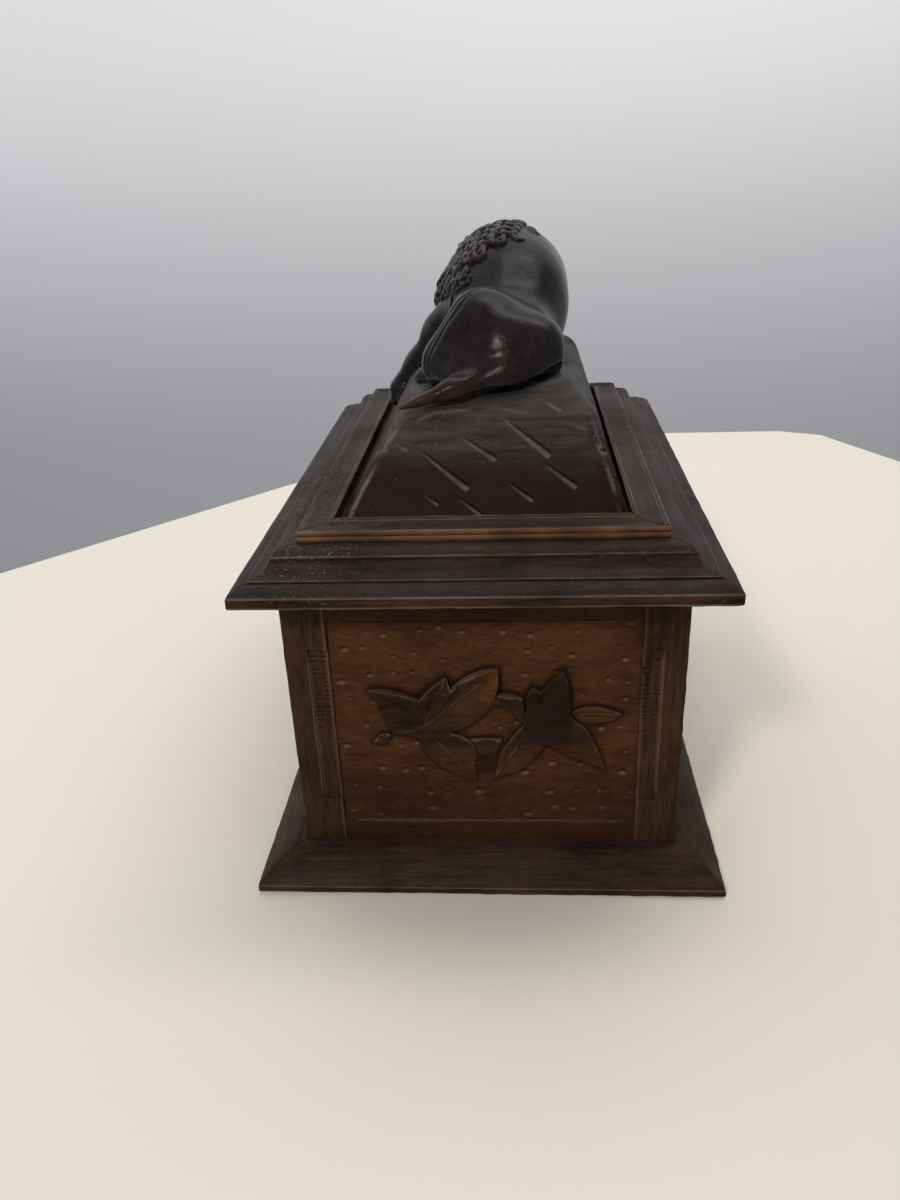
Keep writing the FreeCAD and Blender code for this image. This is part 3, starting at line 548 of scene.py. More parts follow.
def metal(name, bright, dull, roughness):
    """Old metal, stained in patches and finely scratched."""
    material, tree, shader, place = new_finish(name)
    stains = noise(tree, place, *METAL_STAINS)
    colour = blend(tree, span(tree, stains, 0.35, 0.68), bright, dull)
    tree.links.new(colour, shader.inputs["Base Color"])
    tree.links.new(span(tree, stains, 0.3, 0.7, roughness, roughness + 0.25), shader.inputs["Roughness"])
    roughen(tree, shader, noise(tree, place, *METAL_SCRATCHES), 0.12, 0.1 * MM)
    shader.inputs["Metallic"].default_value = 1.0
    return material


def pile(name, deep, lit, sheen):
    """Short velvet pile, with brushed patches."""
    material, tree, shader, place = new_finish(name)
    brushed = noise(tree, place, *BRUSHED_PILE)
    tufts = noise(tree, place, *PILE_TUFTS)
    tone = total(tree, product(tree, brushed, 0.7), product(tree, tufts, 0.3))
    tree.links.new(blend(tree, span(tree, tone, 0.36, 0.64), deep, lit), shader.inputs["Base Color"])
    roughen(tree, shader, tufts, 0.6, 0.3 * MM)
    shader.inputs["Roughness"].default_value = 0.95
    shader.inputs["Sheen Weight"].default_value = 0.7
    shader.inputs["Sheen Roughness"].default_value = 0.4
    shader.inputs["Sheen Tint"].default_value = (*sheen, 1)
    return material


# a palette's last colour is for dirt in hollows and for painted shade
Palette = namedtuple("Palette", "dark light worn grime", defaults=[GRIME_AND_SHADE])
ESPRESSO = Palette((0.012, 0.0054, 0.0037), (0.054, 0.0255, 0.015), (0.14, 0.112, 0.09))
UMBER = Palette((0.0165, 0.007, 0.0033), (0.056, 0.0255, 0.0118), (0.12, 0.066, 0.036))
CHESTNUT = Palette((0.034, 0.0127, 0.005), (0.08, 0.0328, 0.0122), (0.15, 0.075, 0.035),
                   (0.012, 0.005, 0.0025))
FOLIAGE = Palette((0.013, 0.0055, 0.003), (0.047, 0.02, 0.0095), (0.17, 0.115, 0.08))
REDDISH = Palette((0.03, 0.012, 0.005), (0.12, 0.05, 0.017), (0.2, 0.1, 0.045))
# grey: the rock's colour with a painted sheen over it; its redder colour comes in lower down
STONE_AND_SHEEN = Palette((0.018, 0.0158, 0.0142), (0.05, 0.0445, 0.041), (0.11, 0.098, 0.085))
PELT = Palette((0.0062, 0.0046, 0.0042), (0.0165, 0.0127, 0.0114), (0.07, 0.058, 0.05),
               (0.003, 0.0022, 0.002))
BARE = Palette((0.2, 0.115, 0.055), (0.34, 0.21, 0.11), (0.4, 0.27, 0.15), (0.09, 0.05, 0.025))
dark_rail = both_ways("espresso_wood", ESPRESSO, shine=0.04, wear_share=0.8, film=0.8, dust=0.8)
plinth_rail = both_ways("plinth_wood", ESPRESSO, shine=0.04, film=0.25, dust=0.4)
post_wood = stained_wood("umber_post", "z", UMBER, shine=0.06, grime_share=0.6, tint=(0.13, 0.075, 0.042))
# the panel's tint is painted highlight, on the ground's foot and on the nicks' slopes that face up
panel_wood = both_ways("chestnut_board", CHESTNUT, "short_", gloss=0.6, shine=0.05, grime_share=0.8,
                       fibre_share=0.3, rail_shade=0.5, tint=(0.2, 0.115, 0.062))
leaf_wood = both_ways("leaf_wood", FOLIAGE, gloss=0.42, shine=0.07, grime_share=0.7,
                      tint=(0.075, 0.027, 0.0045))
reed_wood = both_ways("reddish_reed", REDDISH, dust=0.3)
# grey palette partly painted sheen, low tone the redder colour below, tint dust and painted highlights
rock_wood = stained_wood("gouged_rock", "level", STONE_AND_SHEEN, gloss=0.5, shine=0.035, grime_share=0.75, dust=0.3,
                         low_tone=((0.0125, 0.0042, 0.0026), 105, 115), tint=(0.115, 0.105, 0.092))
lion_wood = stained_wood("polished_lion", "y", PELT, gloss=0.2, shine=0.08, wear_share=0.45, grime_share=0.7,
                         grit=0.17, tint=(0.026, 0.0095, 0.0058))
bare_wood = stained_wood("bare_board", "y", BARE, gloss=0.6)
brass = metal("tarnished_brass", (0.52, 0.36, 0.13), (0.17, 0.105, 0.04), 0.32)
steel = metal("plain_steel", (0.42, 0.41, 0.39), (0.16, 0.145, 0.13), 0.3)
velvet = pile("wine_velvet", (0.075, 0.004, 0.009), (0.2, 0.014, 0.027), (0.8, 0.25, 0.28))


# Beds for the hinges and the lock

HINGE_ENDS = ("tail", "head")
FIT = 0.1                   # room about a plate in its bed
MORTISE_DEPTH = 1.2
MORTISE_RUN = 5.0           # how far a mortise runs on under the knuckles
KNUCKLE_FROM = 6.5          # from a leaf's inner edge to its knuckles
KNUCKLE_ROOM = 0.4


def hinge_cuts(leaf, level):
    """Mortise for a hinge leaf and room for its knuckles, around the frame's own leaf."""
    low, high = node_box(leaf)
    knuckle_x = low[0] + KNUCKLE_FROM
    mortise_low = np.array([low[0] - FIT, low[1] - FIT, level - MORTISE_DEPTH])
    mortise_high = np.array([knuckle_x + MORTISE_RUN, high[1] + FIT, level + MORTISE_DEPTH])
    knuckle_low = np.array([knuckle_x, low[1] - KNUCKLE_ROOM, low[2] - KNUCKLE_ROOM])
    return [(mortise_low, mortise_high), (knuckle_low, high + KNUCKLE_ROOM)]


def let_in_hardware(piece, side, hinge_leaf, level, lock_plate):
    """Cut the beds of the hinges or of the lock, where a piece lies on their side of the box."""
    if side == "hinge_side":
        leaves = [f"{hinge_leaf}_{end}" for end in HINGE_ENDS]
        cut_boxes(piece, [cut for leaf in leaves for cut in hinge_cuts(leaf, level)])
    if side == "lock_side":
        low, high = node_box(lock_plate)
        cut_boxes(piece, [(low - FIT, high + FIT)])


# Mouldings: plinth, lid frame and step, each strip a profile swept along its side and cut to mitres

PLINTH_PROFILE = [(0.4, 0, 0.1), (0, 0.4, 0), (0, 2.1, 0.08), (0.35, 2.45, 0.6), (9, 8.5, 0), (18, 8.5, 0),
                  (18, 5, 0), (15, 5, 0), (15, 0, 0)]
CORNICE_PROFILE = [(0.8, 0, 0.2), (0, 0.8, 0), (0, 3.1, 0.06), (0.3, 3.5, 0.5), (4.4, 5.2, 0),
                   (4.4, 5.8, 0), (5.2, 5.9, -0.84), (9.4, 9.0, 0), (9.4, 9.7, 0.54), (13, 11.1, 0),
                   (18.8, 11.1, 0), (18.8, 0, 0)]
STEP_PROFILE = [(0, 0, 0.3), (0, 1.45, 0), (0.25, 1.5, 0), (0, 1.55, 0.3), (0.1, 3.0, 0), (1.2, 3.0, -0.7),
                (8, 3.5, 0), (8, 0, 0)]
REED_HEIGHT = 3.05
PLINTH_WORN_TO = 6.0        # how far in from its face the plinth has been touched and worn
PROFILE_GAP = 0.34
STATION_GAP = 1.1
MITRE_STATIONS = np.array([0, 0.2, 0.45, 0.8, 1.3])
MITRE_RUN = 2.0             # the even stations start this far from a mitre
MITRE_GAP = 0.03            # glue line at each mitre
MITRE_SINK = 0.16
MITRE_SINK_RUN = 0.4
MOULDING_SWAY = ((0.07, 16.0), (0.03, 4.0))
MOULDING_WEAR = 0.16
LIP_BEND = 0.5              # a profile that turns this much at a corner is fully worn or grimy there


def moulding(kind, profile, low, high, side, material, worn_to=math.inf):
    """Strip of moulding along one side, hollowed a little where it meets its neighbours at the mitres."""
    seed = SEEDS[kind] + SIDES.index(side)
    reach, half = reach_of(high, side)
    outline = trace(profile, PROFILE_GAP)
    normals = outward(outline)
    near = MITRE_STATIONS / half
    middle = fine_marks(-1 + MITRE_RUN / half, 1 - MITRE_RUN / half, STATION_GAP / half)
    share = np.concatenate([near - 1, middle, 1 - near[::-1]])
    sink = MITRE_SINK * bell((1 - np.abs(share)) * half, MITRE_SINK_RUN)
    inset = outline[None, :, 0] - normals[None, :, 0] * sink[:, None]
    level = low[2] + outline[None, :, 1] - normals[None, :, 1] * sink[:, None]
    across = share[:, None] * (half - outline[None, :, 0] - MITRE_GAP)
    loops = np.stack([across, inset - reach, level], axis=-1)
    loops[..., 1:] += normals[None] * swells(loops, seed, MOULDING_SWAY)[..., None]
    points, faces = skin(loops)
    mesh = mesh_of(f"{kind}_strip_{side}", turned(points, side), faces)
    ahead = np.roll(outline, -1, axis=0) - outline
    ahead /= np.linalg.norm(ahead, axis=1)[:, None]
    behind = np.roll(ahead, 1, axis=0)
    bend = (ahead[:, 0] * behind[:, 1] - ahead[:, 1] * behind[:, 0]) / LIP_BEND
    for name, lips in (("proud", bend * (outline[:, 0] < worn_to)), ("hollow", -bend)):
        mark(mesh, name, np.tile(np.clip(lips, 0, 1), len(share)))
    wear(mesh, MOULDING_WEAR, seed)
    return piece_of(mesh, material)


def paint_reeds(step, side):
    """Give the reeds on a step's face their own wood."""
    step.data.materials.append(reed_wood[AXIS[side]])
    facing = Vector(turned(np.array([[0.0, -1.0, 0.0]]), side)[0])
    for face in step.data.polygons:
        is_reed = face.normal.dot(facing) > 0.3 and face.center.z < (STEP_LOW[2] + REED_HEIGHT) * MM
        face.material_index = int(is_reed)


for side in SIDES:
    plinth = moulding("plinth", PLINTH_PROFILE, PLINTH_LOW, PLINTH_HIGH, side, plinth_rail[AXIS[side]],
                      PLINTH_WORN_TO)
    dress(plinth, "box", [f"plinth_{side}"])
    cornice = moulding("cornice", CORNICE_PROFILE, LID_LOW, LID_HIGH, side, dark_rail[AXIS[side]])
    let_in_hardware(cornice, side, "hinge_upper_leaf", LID_LOW[2], "lid_catch")
    dress(cornice, "lid", [f"cornice_{side}"])
    step = moulding("step", STEP_PROFILE, STEP_LOW, STEP_HIGH, side, dark_rail[AXIS[side]])
    paint_reeds(step, side)
    dress(step, "lid", [f"step_{side}"])


# Punched marks, sunk into the ground of the boards and the strips of the posts

PUNCH_INPUTS = {"Geometry": "Geometry", "Finish": "Material", "Centre": "Vector", "Turn": "Float",
                "Width": "Float", "Height": "Float", "Columns": "Int", "Rows": "Int", "Jitter": "Float",
                "Flatness": "Float", "Radius": "Float", "Depth": "Float", "Edge": "Float", "Tilt": "Float",
                "Pull": "Vector", "Share": "Float", "Seed": "Int"}
PUNCH_LENGTHS = ("Width", "Height", "Jitter", "Radius", "Depth")
PUNCH_SIZES = (0.65, 1.25)  # smallest and largest mark, as shares of the radius and depth


def combined(tree, x=0.0, y=0.0, z=0.0):
    return add(tree, "ShaderNodeCombineXYZ", {"X": x, "Y": y, "Z": z}).outputs[0]


def vector_maths(tree, operation, first, second):
    return add(tree, "ShaderNodeVectorMath", {0: first, 1: second}, operation=operation).outputs


def changed(tree, kind, geometry, **values):
    """Geometry put through one more node."""
    return add(tree, f"GeometryNode{kind}", {"Geometry": geometry, **values}).outputs[0]


def punch_spots(tree, given):
    """Points of a jittered, upright field of marks, some of them left out."""
    grid = add(tree, "GeometryNodeMeshGrid", {"Size X": given["Width"], "Size Y": given["Height"],
                                             "Vertices X": given["Columns"], "Vertices Y": given["Rows"]})
    spots = add(tree, "GeometryNodeMeshToPoints", {"Mesh": grid.outputs["Mesh"]}).outputs[0]
    chance = add(tree, "FunctionNodeRandomValue", {"Seed": given["Seed"]}, data_type="FLOAT").outputs[1]
    too_many = add(tree, "FunctionNodeCompare", {0: chance, 1: given["Share"]}, operation="GREATER_THAN")
    spots = changed(tree, "DeleteGeometry", spots, Selection=too_many.outputs[0])
    back = product(tree, given["Jitter"], -1.0)
    limits = {0: combined(tree, back, back), 1: combined(tree, given["Jitter"], given["Jitter"])}
    stray = add(tree, "FunctionNodeRandomValue", {**limits, "Seed": given["Seed"]}, data_type="FLOAT_VECTOR")
    spots = changed(tree, "SetPosition", spots, Offset=stray.outputs[0])
    upright = combined(tree, math.pi / 2, z=given["Turn"])
    return changed(tree, "Transform", spots, Translation=given["Centre"], Rotation=upright)


def punch_tree():
    """Geometry nodes that sink a field of marks into the part of a face marked as sunk."""
    tree = bpy.data.node_groups.new("punched_marks", "GeometryNodeTree")
    tree.interface.new_socket("Geometry", in_out="OUTPUT", socket_type="NodeSocketGeometry")
    for name, kind in PUNCH_INPUTS.items():
        tree.interface.new_socket(name, in_out="INPUT", socket_type=f"NodeSocket{kind}")
    given = tree.nodes.new("NodeGroupInput").outputs

    squeeze = combined(tree, 1.0, 1.0, given["Flatness"])
    spots = changed(tree, "Transform", punch_spots(tree, given), Scale=squeeze)
    place = vector_maths(tree, "MULTIPLY", tree.nodes.new("GeometryNodeInputPosition").outputs[0], squeeze)[0]
    at_place = {"Geometry": spots, "Sample Position": place}
    near = add(tree, "GeometryNodeProximity", at_place, target_element="POINTS").outputs
    nearest = add(tree, "GeometryNodeSampleNearest", at_place).outputs[0]
    sizes = {2: PUNCH_SIZES[0], 3: PUNCH_SIZES[1], "ID": nearest, "Seed": given["Seed"]}
    size = add(tree, "FunctionNodeRandomValue", sizes, data_type="FLOAT").outputs[1]

    reach = product(tree, given["Radius"], size)
    bowl = span(tree, near["Distance"], product(tree, reach, given["Edge"]), reach, 1.0, 0.0)
    offset = vector_maths(tree, "SUBTRACT", place, near["Position"])[0]
    pulled = vector_maths(tree, "DOT_PRODUCT", offset, given["Pull"])["Value"]
    slide = total(tree, worked(tree, "DIVIDE", pulled, reach), 1.0)
    slope = worked(tree, "SUBTRACT", 1.0, product(tree, slide, 0.5, given["Tilt"]))
    sunk = add(tree, "GeometryNodeInputNamedAttribute", {"Name": "sunk"}, data_type="FLOAT")
    down = product(tree, given["Depth"], size, bowl, slope, sunk.outputs["Attribute"], -1.0)

    normal = tree.nodes.new("GeometryNodeInputNormal").outputs[0]
    push = add(tree, "ShaderNodeVectorMath", {0: normal, "Scale": down}, operation="SCALE").outputs[0]
    shaped = changed(tree, "SetPosition", given["Geometry"], Offset=push)
    whole = changed(tree, "RealizeInstances", shaped)
    dressed = changed(tree, "SetMaterial", whole, Material=given["Finish"])
    tree.links.new(dressed, tree.nodes.new("NodeGroupOutput").inputs[0])
    return tree


PUNCH = punch_tree()


def punch(piece, **values):
    """Sink punched marks into a piece; lengths are in millimetres."""
    modifier = piece.modifiers.new("punch", "NODES")
    modifier.node_group = PUNCH
    for socket in PUNCH.interface.items_tree:
        if socket.in_out == "INPUT" and socket.name in values:
            value = values[socket.name]
            if socket.name in PUNCH_LENGTHS:
                value = value * MM
            if socket.name == "Centre":
                value = [part * MM for part in value]
            modifier[socket.identifier] = value
    finish_mesh(piece)


# Boards, with a sunk punched ground whose edges soften near the posts

GROUND_FOOT, GROUND_HEAD = 15.0, 75.0
EDGE_FADE = 4.0             # the ground's upper and lower edges soften this close to the posts
EDGE_SOFT = 2.2
FOOT_SHARE = 0.25           # depth of the ground at its foot, as a share, and where it is sunk in full
FOOT_RUN = 9.0
GROUND_SWAY = ((0.10, 5.0), (0.06, 1.8))
FACE_SWAY = 0.04
BOARD_BACK = 9.3
BOARD_SHARE = 0.5           # faces left on a board
FACE_GAP = 0.36
NICK_PITCH = 6.4
NICK_ROOM = (6.0, 5.0)      # plain ground left beside the nicks, and above and below
NICKS = dict(Turn=0.0, Rows=9, Jitter=1.9, Flatness=1.7, Radius=1.3, Depth=0.75, Edge=0.35, Share=0.92,
             Tilt=1.0, Pull=(0.5, 0.0, -0.87))     # they slope out to the lower right


def ground_share(x, z, half):
    """Where a board is sunk, from 0 to 1."""
    run = CRISP + EDGE_SOFT * smooth_step(np.abs(x), half - EDGE_FADE, half - 0.5)
    return between(z, GROUND_FOOT - run, GROUND_FOOT + run, GROUND_HEAD - run, GROUND_HEAD + run)


def board(side):
    seed = SEEDS["board"] + SIDES.index(side)
    finish = panel_wood[AXIS[side]]
    reach, half = reach_of(BODY_HIGH, side)
    half -= POST_SIZE
    levels = fine_marks(BODY_LOW[2], BODY_HIGH[2], FACE_GAP, (GROUND_FOOT, GROUND_HEAD))
    x, z = np.meshgrid(fine_marks(-half, half, FACE_GAP), levels)
    sunk = ground_share(x, z, half)
    rise = FOOT_SHARE + (1 - FOOT_SHARE) * smooth_step(z, GROUND_FOOT - 1, GROUND_FOOT + FOOT_RUN)
    front = np.stack([x, BOARD_SETBACK + (GROUND_DEPTH - BOARD_SETBACK) * sunk * rise, z], axis=-1)
    front[..., 1] += sunk * swells(front, seed, GROUND_SWAY)
    front[..., 1] += FACE_SWAY * soft_noise(front * [0.15, 1, 1], 2.0, seed + 2)
    back = np.stack([np.broadcast_to([half, -half], (len(levels), 2)),
                     np.full((len(levels), 2), BOARD_BACK), np.repeat(levels[:, None], 2, 1)], axis=-1)
    loops = np.concatenate([front, back], axis=1)
    loops[..., 1] -= reach
    mesh = mesh_of(f"carved_board_{side}", *skin(loops))
    mark(mesh, "sunk", np.pad(sunk, ((0, 0), (0, 2))).ravel())
    piece = piece_of(mesh, finish)
    punch(piece, Finish=finish, Centre=(0, GROUND_DEPTH - reach, (GROUND_FOOT + GROUND_HEAD) / 2),
          Width=2 * half - NICK_ROOM[0], Height=GROUND_HEAD - GROUND_FOOT - NICK_ROOM[1],
          Columns=round(2 * half / NICK_PITCH), Seed=seed, **NICKS)
    piece.data.transform(Matrix.Rotation(SIDES.index(side) * math.pi / 2, 4, "Z"))
    thin_out(piece, BOARD_SHARE)
    return piece


def age_board(piece, side):
    """Mark painted light and shade on a board's ground: a shadow line at its head, a highlight on its foot,
    shade on the nicks' steep walls and lower down, and light on the nicks' slopes that face up.
    """
    points, normals, _ = mesh_arrays(piece.data)
    x, _, z = turned_back(points, side).T
    half = reach_of(BODY_HIGH, side)[1] - POST_SIZE
    sunk = ground_share(x, z, half)
    ends = smooth_step(half - np.abs(x), 2.0, 6.0)
    # painted highlight on the lip at the ground's foot, and a painted shadow line at its head
    lip = ends * bell(z - GROUND_FOOT + 0.2, 0.25)
    head = ends * bell(z - GROUND_HEAD, 0.4)
    inside = sunk * smooth_step(np.minimum(z - GROUND_FOOT, GROUND_HEAD - z), 0.6, 1.2)
    # painted light on the nicks' slopes that face up, painted shade on their steep walls and low on the board
    slopes = inside * smooth_step(normals[:, 2], 0.15, 0.5)
    steep = inside * smooth_step(-normals[:, 2], 0.1, 0.45)
    painted_light = 0.5 * smooth_step(-z, -46, -GROUND_FOOT)
    # the sunk mark also sets the painted rail shade, which is kept lighter on the foot's rail
    mark(piece.data, "sunk", np.maximum(sunk, 0.7 * (z < GROUND_FOOT)))
    mark(piece.data, "tint", np.maximum(0.6 * lip, 0.5 * slopes))
    mark(piece.data, "hollow", np.maximum(head + painted_light, 0.9 * steep))


boards = {side: board(side) for side in SIDES}
for side, piece in boards.items():
    let_in_hardware(piece, side, "hinge_lower_leaf", BODY_HIGH[2], "lock_case")
    age_board(piece, side)
    dress(piece, "box", [f"wall_{side}"], crease=50)


# Posts, each with two sunk strips that carry small ticks

STRIP_FOOT, STRIP_HEAD = 22.0, 67.5
STRIP_WIDTH = 5.0
STRIP_DEPTH = 0.8
STRIP_FADE = 6.0            # the worn lip of a strip fades this close to its ends
POST_SWAY = ((0.05, 7.0), (0.05, 2.0))
POST_WEAR = 0.22
TICK_GAP = 0.24
TICK_ROOM = (2.4, 2.0)      # plain strip left beside the ticks, and above and below
TICKS = dict(Columns=2, Rows=36, Jitter=0.15, Flatness=2.6, Radius=1.1, Depth=0.45, Edge=0.4)
TICK_SHARES = {"tail_lock": (0.85, 0.5), "tail_hinge": (0.5, 0.22),     # share of the ticks on each face
               "head_hinge": (0.7, 0.6), "head_lock": (0.6, 0.75)}


def post(corner, seed):
    """Post drawn at the -X, -Y corner, its section taken round the outer corner, then mirrored to place."""
    way_x, way_y = POSTS[corner]
    strip_edge = POST_SIZE - STRIP_WIDTH
    levels = fine_marks(BODY_LOW[2], BODY_HIGH[2], TICK_GAP, (STRIP_FOOT, STRIP_HEAD))
    depth = fine_marks(0.35, POST_SIZE, 0.4, (strip_edge,))
    s, z = np.meshgrid(np.concatenate([-depth[::-1], [-0.1, 0.1], depth]), levels)
    in_strip = smooth_step(np.abs(s), strip_edge - CRISP, strip_edge + CRISP)
    in_strip *= between(z, STRIP_FOOT - CRISP, STRIP_FOOT + CRISP, STRIP_HEAD - CRISP, STRIP_HEAD + CRISP)
    sink = STRIP_DEPTH * in_strip + swells(np.stack([s, 0 * s, z], axis=-1), seed, POST_SWAY)
    x = np.where(s > 0, np.abs(s), sink)
    y = np.where(s > 0, sink, np.abs(s))
    inner = np.broadcast_to([[POST_SIZE, POST_SIZE]], (len(levels), 1, 2))
    inner = np.concatenate([inner, levels[:, None, None]], axis=-1)
    loops = np.concatenate([np.stack([x, y, z], axis=-1), inner], axis=1)
    loops[..., :2] += BODY_LOW[:2]
    mesh = mesh_of(f"corner_post_{corner}", *skin(loops))
    ticked = in_strip * smooth_step(z, STRIP_FOOT + 8, STRIP_HEAD - 14)
    lip = bell(np.abs(s) - POST_SIZE + STRIP_WIDTH, 0.3)
    lip *= between(z, STRIP_FOOT, STRIP_FOOT + STRIP_FADE, STRIP_HEAD - STRIP_FADE, STRIP_HEAD)
    for name, share in (("sunk", ticked), ("tint", lip)):
        mark(mesh, name, np.pad(share, ((0, 0), (0, 1))).ravel())
    piece = piece_of(mesh, post_wood)
    middle = POST_SIZE - STRIP_WIDTH / 2
    faces_at = ((0.0, (BODY_LOW[0] + middle, BODY_LOW[1] + STRIP_DEPTH)),
                (math.pi / 2, (BODY_LOW[0] + STRIP_DEPTH, BODY_LOW[1] + middle)))
    for (turn, spot), share in zip(faces_at, TICK_SHARES[corner]):
        punch(piece, Finish=post_wood, Centre=(*spot, (STRIP_FOOT + STRIP_HEAD) / 2), Turn=turn,
              Width=STRIP_WIDTH - TICK_ROOM[0], Height=STRIP_HEAD - STRIP_FOOT - TICK_ROOM[1],
              Share=share, Seed=seed, **TICKS)
    piece.data.transform(Matrix.Diagonal((-way_x, -way_y, 1, 1)))
    if way_x * way_y < 0:
        piece.data.flip_normals()
    wear(piece.data, POST_WEAR, seed)
    mark_patina(piece.data, rounds=5, depth=0.2)
    return piece


for number, corner in enumerate(POSTS):
    dress(post(corner, SEEDS["post"] + number), "box", [f"post_{corner}"], crease=50)


# Leaf sprays: two lobed leaves and smaller ones, drawn from the ground's middle

Leaf = namedtuple("Leaf", "heart tips edge")    # veins run from heart to tips; edge is (right, up, sharp)
LEFT_LEAF = Leaf((-16.2, -0.8), ((-29.8, 10.8), (-24.2, -3.0), (-2.8, -17.4), (3.6, 16.8), (-9.6, 14.5)), [
    (-29.8, 10.8, 1), (-28.0, 7.6, 0), (-25.6, 2.3, 0), (-24.2, -3.0, 1), (-21.0, -3.2, 0),
    (-17.2, -3.8, 1), (-15.6, -8.5, 0), (-12.3, -13.0, 0), (-7.4, -16.0, 0), (-2.8, -17.4, 1),
    (-3.0, -13.0, 0), (-2.7, -9.0, 0), (-4.4, -4.7, 0), (-9.4, -2.4, 1), (-5.2, -0.6, 0), (-1.7, 2.2, 0),
    (1.3, 6.0, 0), (3.2, 11.2, 0), (3.6, 16.8, 1), (0.1, 16.4, 0), (-4.5, 14.4, 0), (-8.5, 11.2, 1),
    (-9.6, 14.5, 1), (-14.3, 10.9, 0), (-16.7, 8.0, 1), (-21.8, 9.9, 0), (-26.0, 10.9, 0)])
RIGHT_LEAF = Leaf((12.3, 0.4), ((19.9, 16.4), (12.1, 11.6), (2.0, -16.9), (30.8, -14.0), (26.0, -1.0)), [
    (19.9, 16.4, 1), (17.3, 13.7, 0), (14.5, 10.4, 1), (12.1, 11.6, 1), (10.4, 8.6, 0), (10.4, 4.8, 0),
    (9.7, -0.1, 1), (6.3, -4.5, 0), (3.6, -9.8, 0), (2.0, -16.9, 1), (8.5, -14.4, 0), (13.7, -9.2, 0),
    (15.4, -5.9, 1), (21.6, -9.8, 0), (26.8, -12.0, 0), (30.8, -14.0, 1), (29.1, -8.5, 0), (26.4, -2.4, 0),
    (25.1, -0.6, 1), (23.2, 1.1, 0), (21.7, 3.0, 1), (21.6, 7.2, 0), (21.1, 12.5, 0)])
BUD_LEAF = Leaf((22.8, 3.2), ((34.6, 3.5),), [
    (21.9, 3.4, 0), (24.8, 5.2, 0), (30.0, 5.1, 0), (34.6, 3.5, 1), (31.3, 1.3, 0), (26.1, 0.6, 0),
    (22.9, 2.2, 0)])
SMALL_LEAF = Leaf((-25.4, -3.2), ((-29.6, -5.6),), [
    (-25.0, -3.0, 0), (-27.3, -2.9, 0), (-29.6, -5.6, 1), (-27.0, -6.0, 0), (-25.2, -4.4, 0)])
STEM_LEAF = Leaf((10.4, 0.6), ((2.2, 8.6),), [
    (1.9, 6.8, 1), (3.2, 9.6, 1), (6.6, 9.4, 0), (9.7, 8.3, 1), (10.0, 4.4, 0), (11.2, 0.9, 1),
    (9.3, 0.1, 1), (7.9, 2.9, 0), (5.8, 4.9, 0)])
KNOT_LEAF = Leaf((0.4, -4.9), ((0.6, -9.0),), [
    (-4.0, -4.4, 1), (0.0, -4.1, 0), (4.2, -4.3, 1), (2.5, -9.4, 1), (0.6, -9.7, 0), (-1.4, -9.4, 1)])
LEAVES = (LEFT_LEAF, RIGHT_LEAF, BUD_LEAF, SMALL_LEAF, STEM_LEAF, KNOT_LEAF)
LEAF_GAP = 0.36
LEAF_FOOT = 0.25            # a leaf's back lies this deep in the ground, and its rim is undercut
LEAF_UNDERCUT = 0.5
LEAF_SWAY = ((0.22, 4.5), (0.05, 1.6))
VEIN_SHARE = 0.93           # a vein stops this far along to the tip
FOLD_SLOPE = 0.6            # a lobe rises to both sides of its vein, up to the fold's reach
FOLD_REACH = 2.6
SIDE_VEIN_PITCH = 3.4
SIDE_VEIN_DEPTH = 0.14
SPRAY_LEVEL = 45.0          # height of the ground's middle
SPRAY_REACH = (39.0, 21.0)  # half the room that a spray and its shade take
GROUND_SHADE = 1.3          # how far painted shadow reaches on the ground round the leaves
SHADE_GAP = 1.2
CLEFT = dict(foot=-17.4, head=-9.0, left=(-2.8, -3.0), right=(2.2, 5.2))  # painted shadow on the ground under the stem
AMBER_LOBE = np.array([(0.8, 8.8), (2.9, 14.2)])    # the lobe that has been rubbed to a warmer tone
AMBER_BESIDE = AMBER_LOBE - (5, 4)
RIB_WIDTH = 0.28


def leaf_outline(shape, gap):
    return curve_through([spot[:2] for spot in shape.edge], [spot[2] for spot in shape.edge], gap, True)


def leaf_sheet(edge, seed):
    """Points and triangles of the flat leaf inside an edge."""
    axes = [np.arange(low, high, LEAF_GAP) for low, high in zip(edge.min(axis=0), edge.max(axis=0))]
    grid = np.stack(np.meshgrid(*axes, indexing="ij"), -1).reshape(-1, 2)
    grid = grid + LEAF_GAP * 0.3 * np.random.default_rng(seed).uniform(-1, 1, grid.shape)
    grid = grid[gap_to_ring(grid, edge) > LEAF_GAP * 0.6]
    spots = [Vector(spot) for spot in np.concatenate([edge, grid])]
    ring = [(here, (here + 1) % len(edge)) for here in range(len(edge))]
    flat, _, faces, *_ = delaunay_2d_cdt(spots, ring, [list(range(len(edge)))], 1, 1e-5)
    flat = np.array([tuple(spot) for spot in flat])
    used = np.unique(np.concatenate([list(face) for face in faces]))
    renumber = {int(old): new for new, old in enumerate(used)}
    return flat[used], [[renumber[corner] for corner in face] for face in faces]


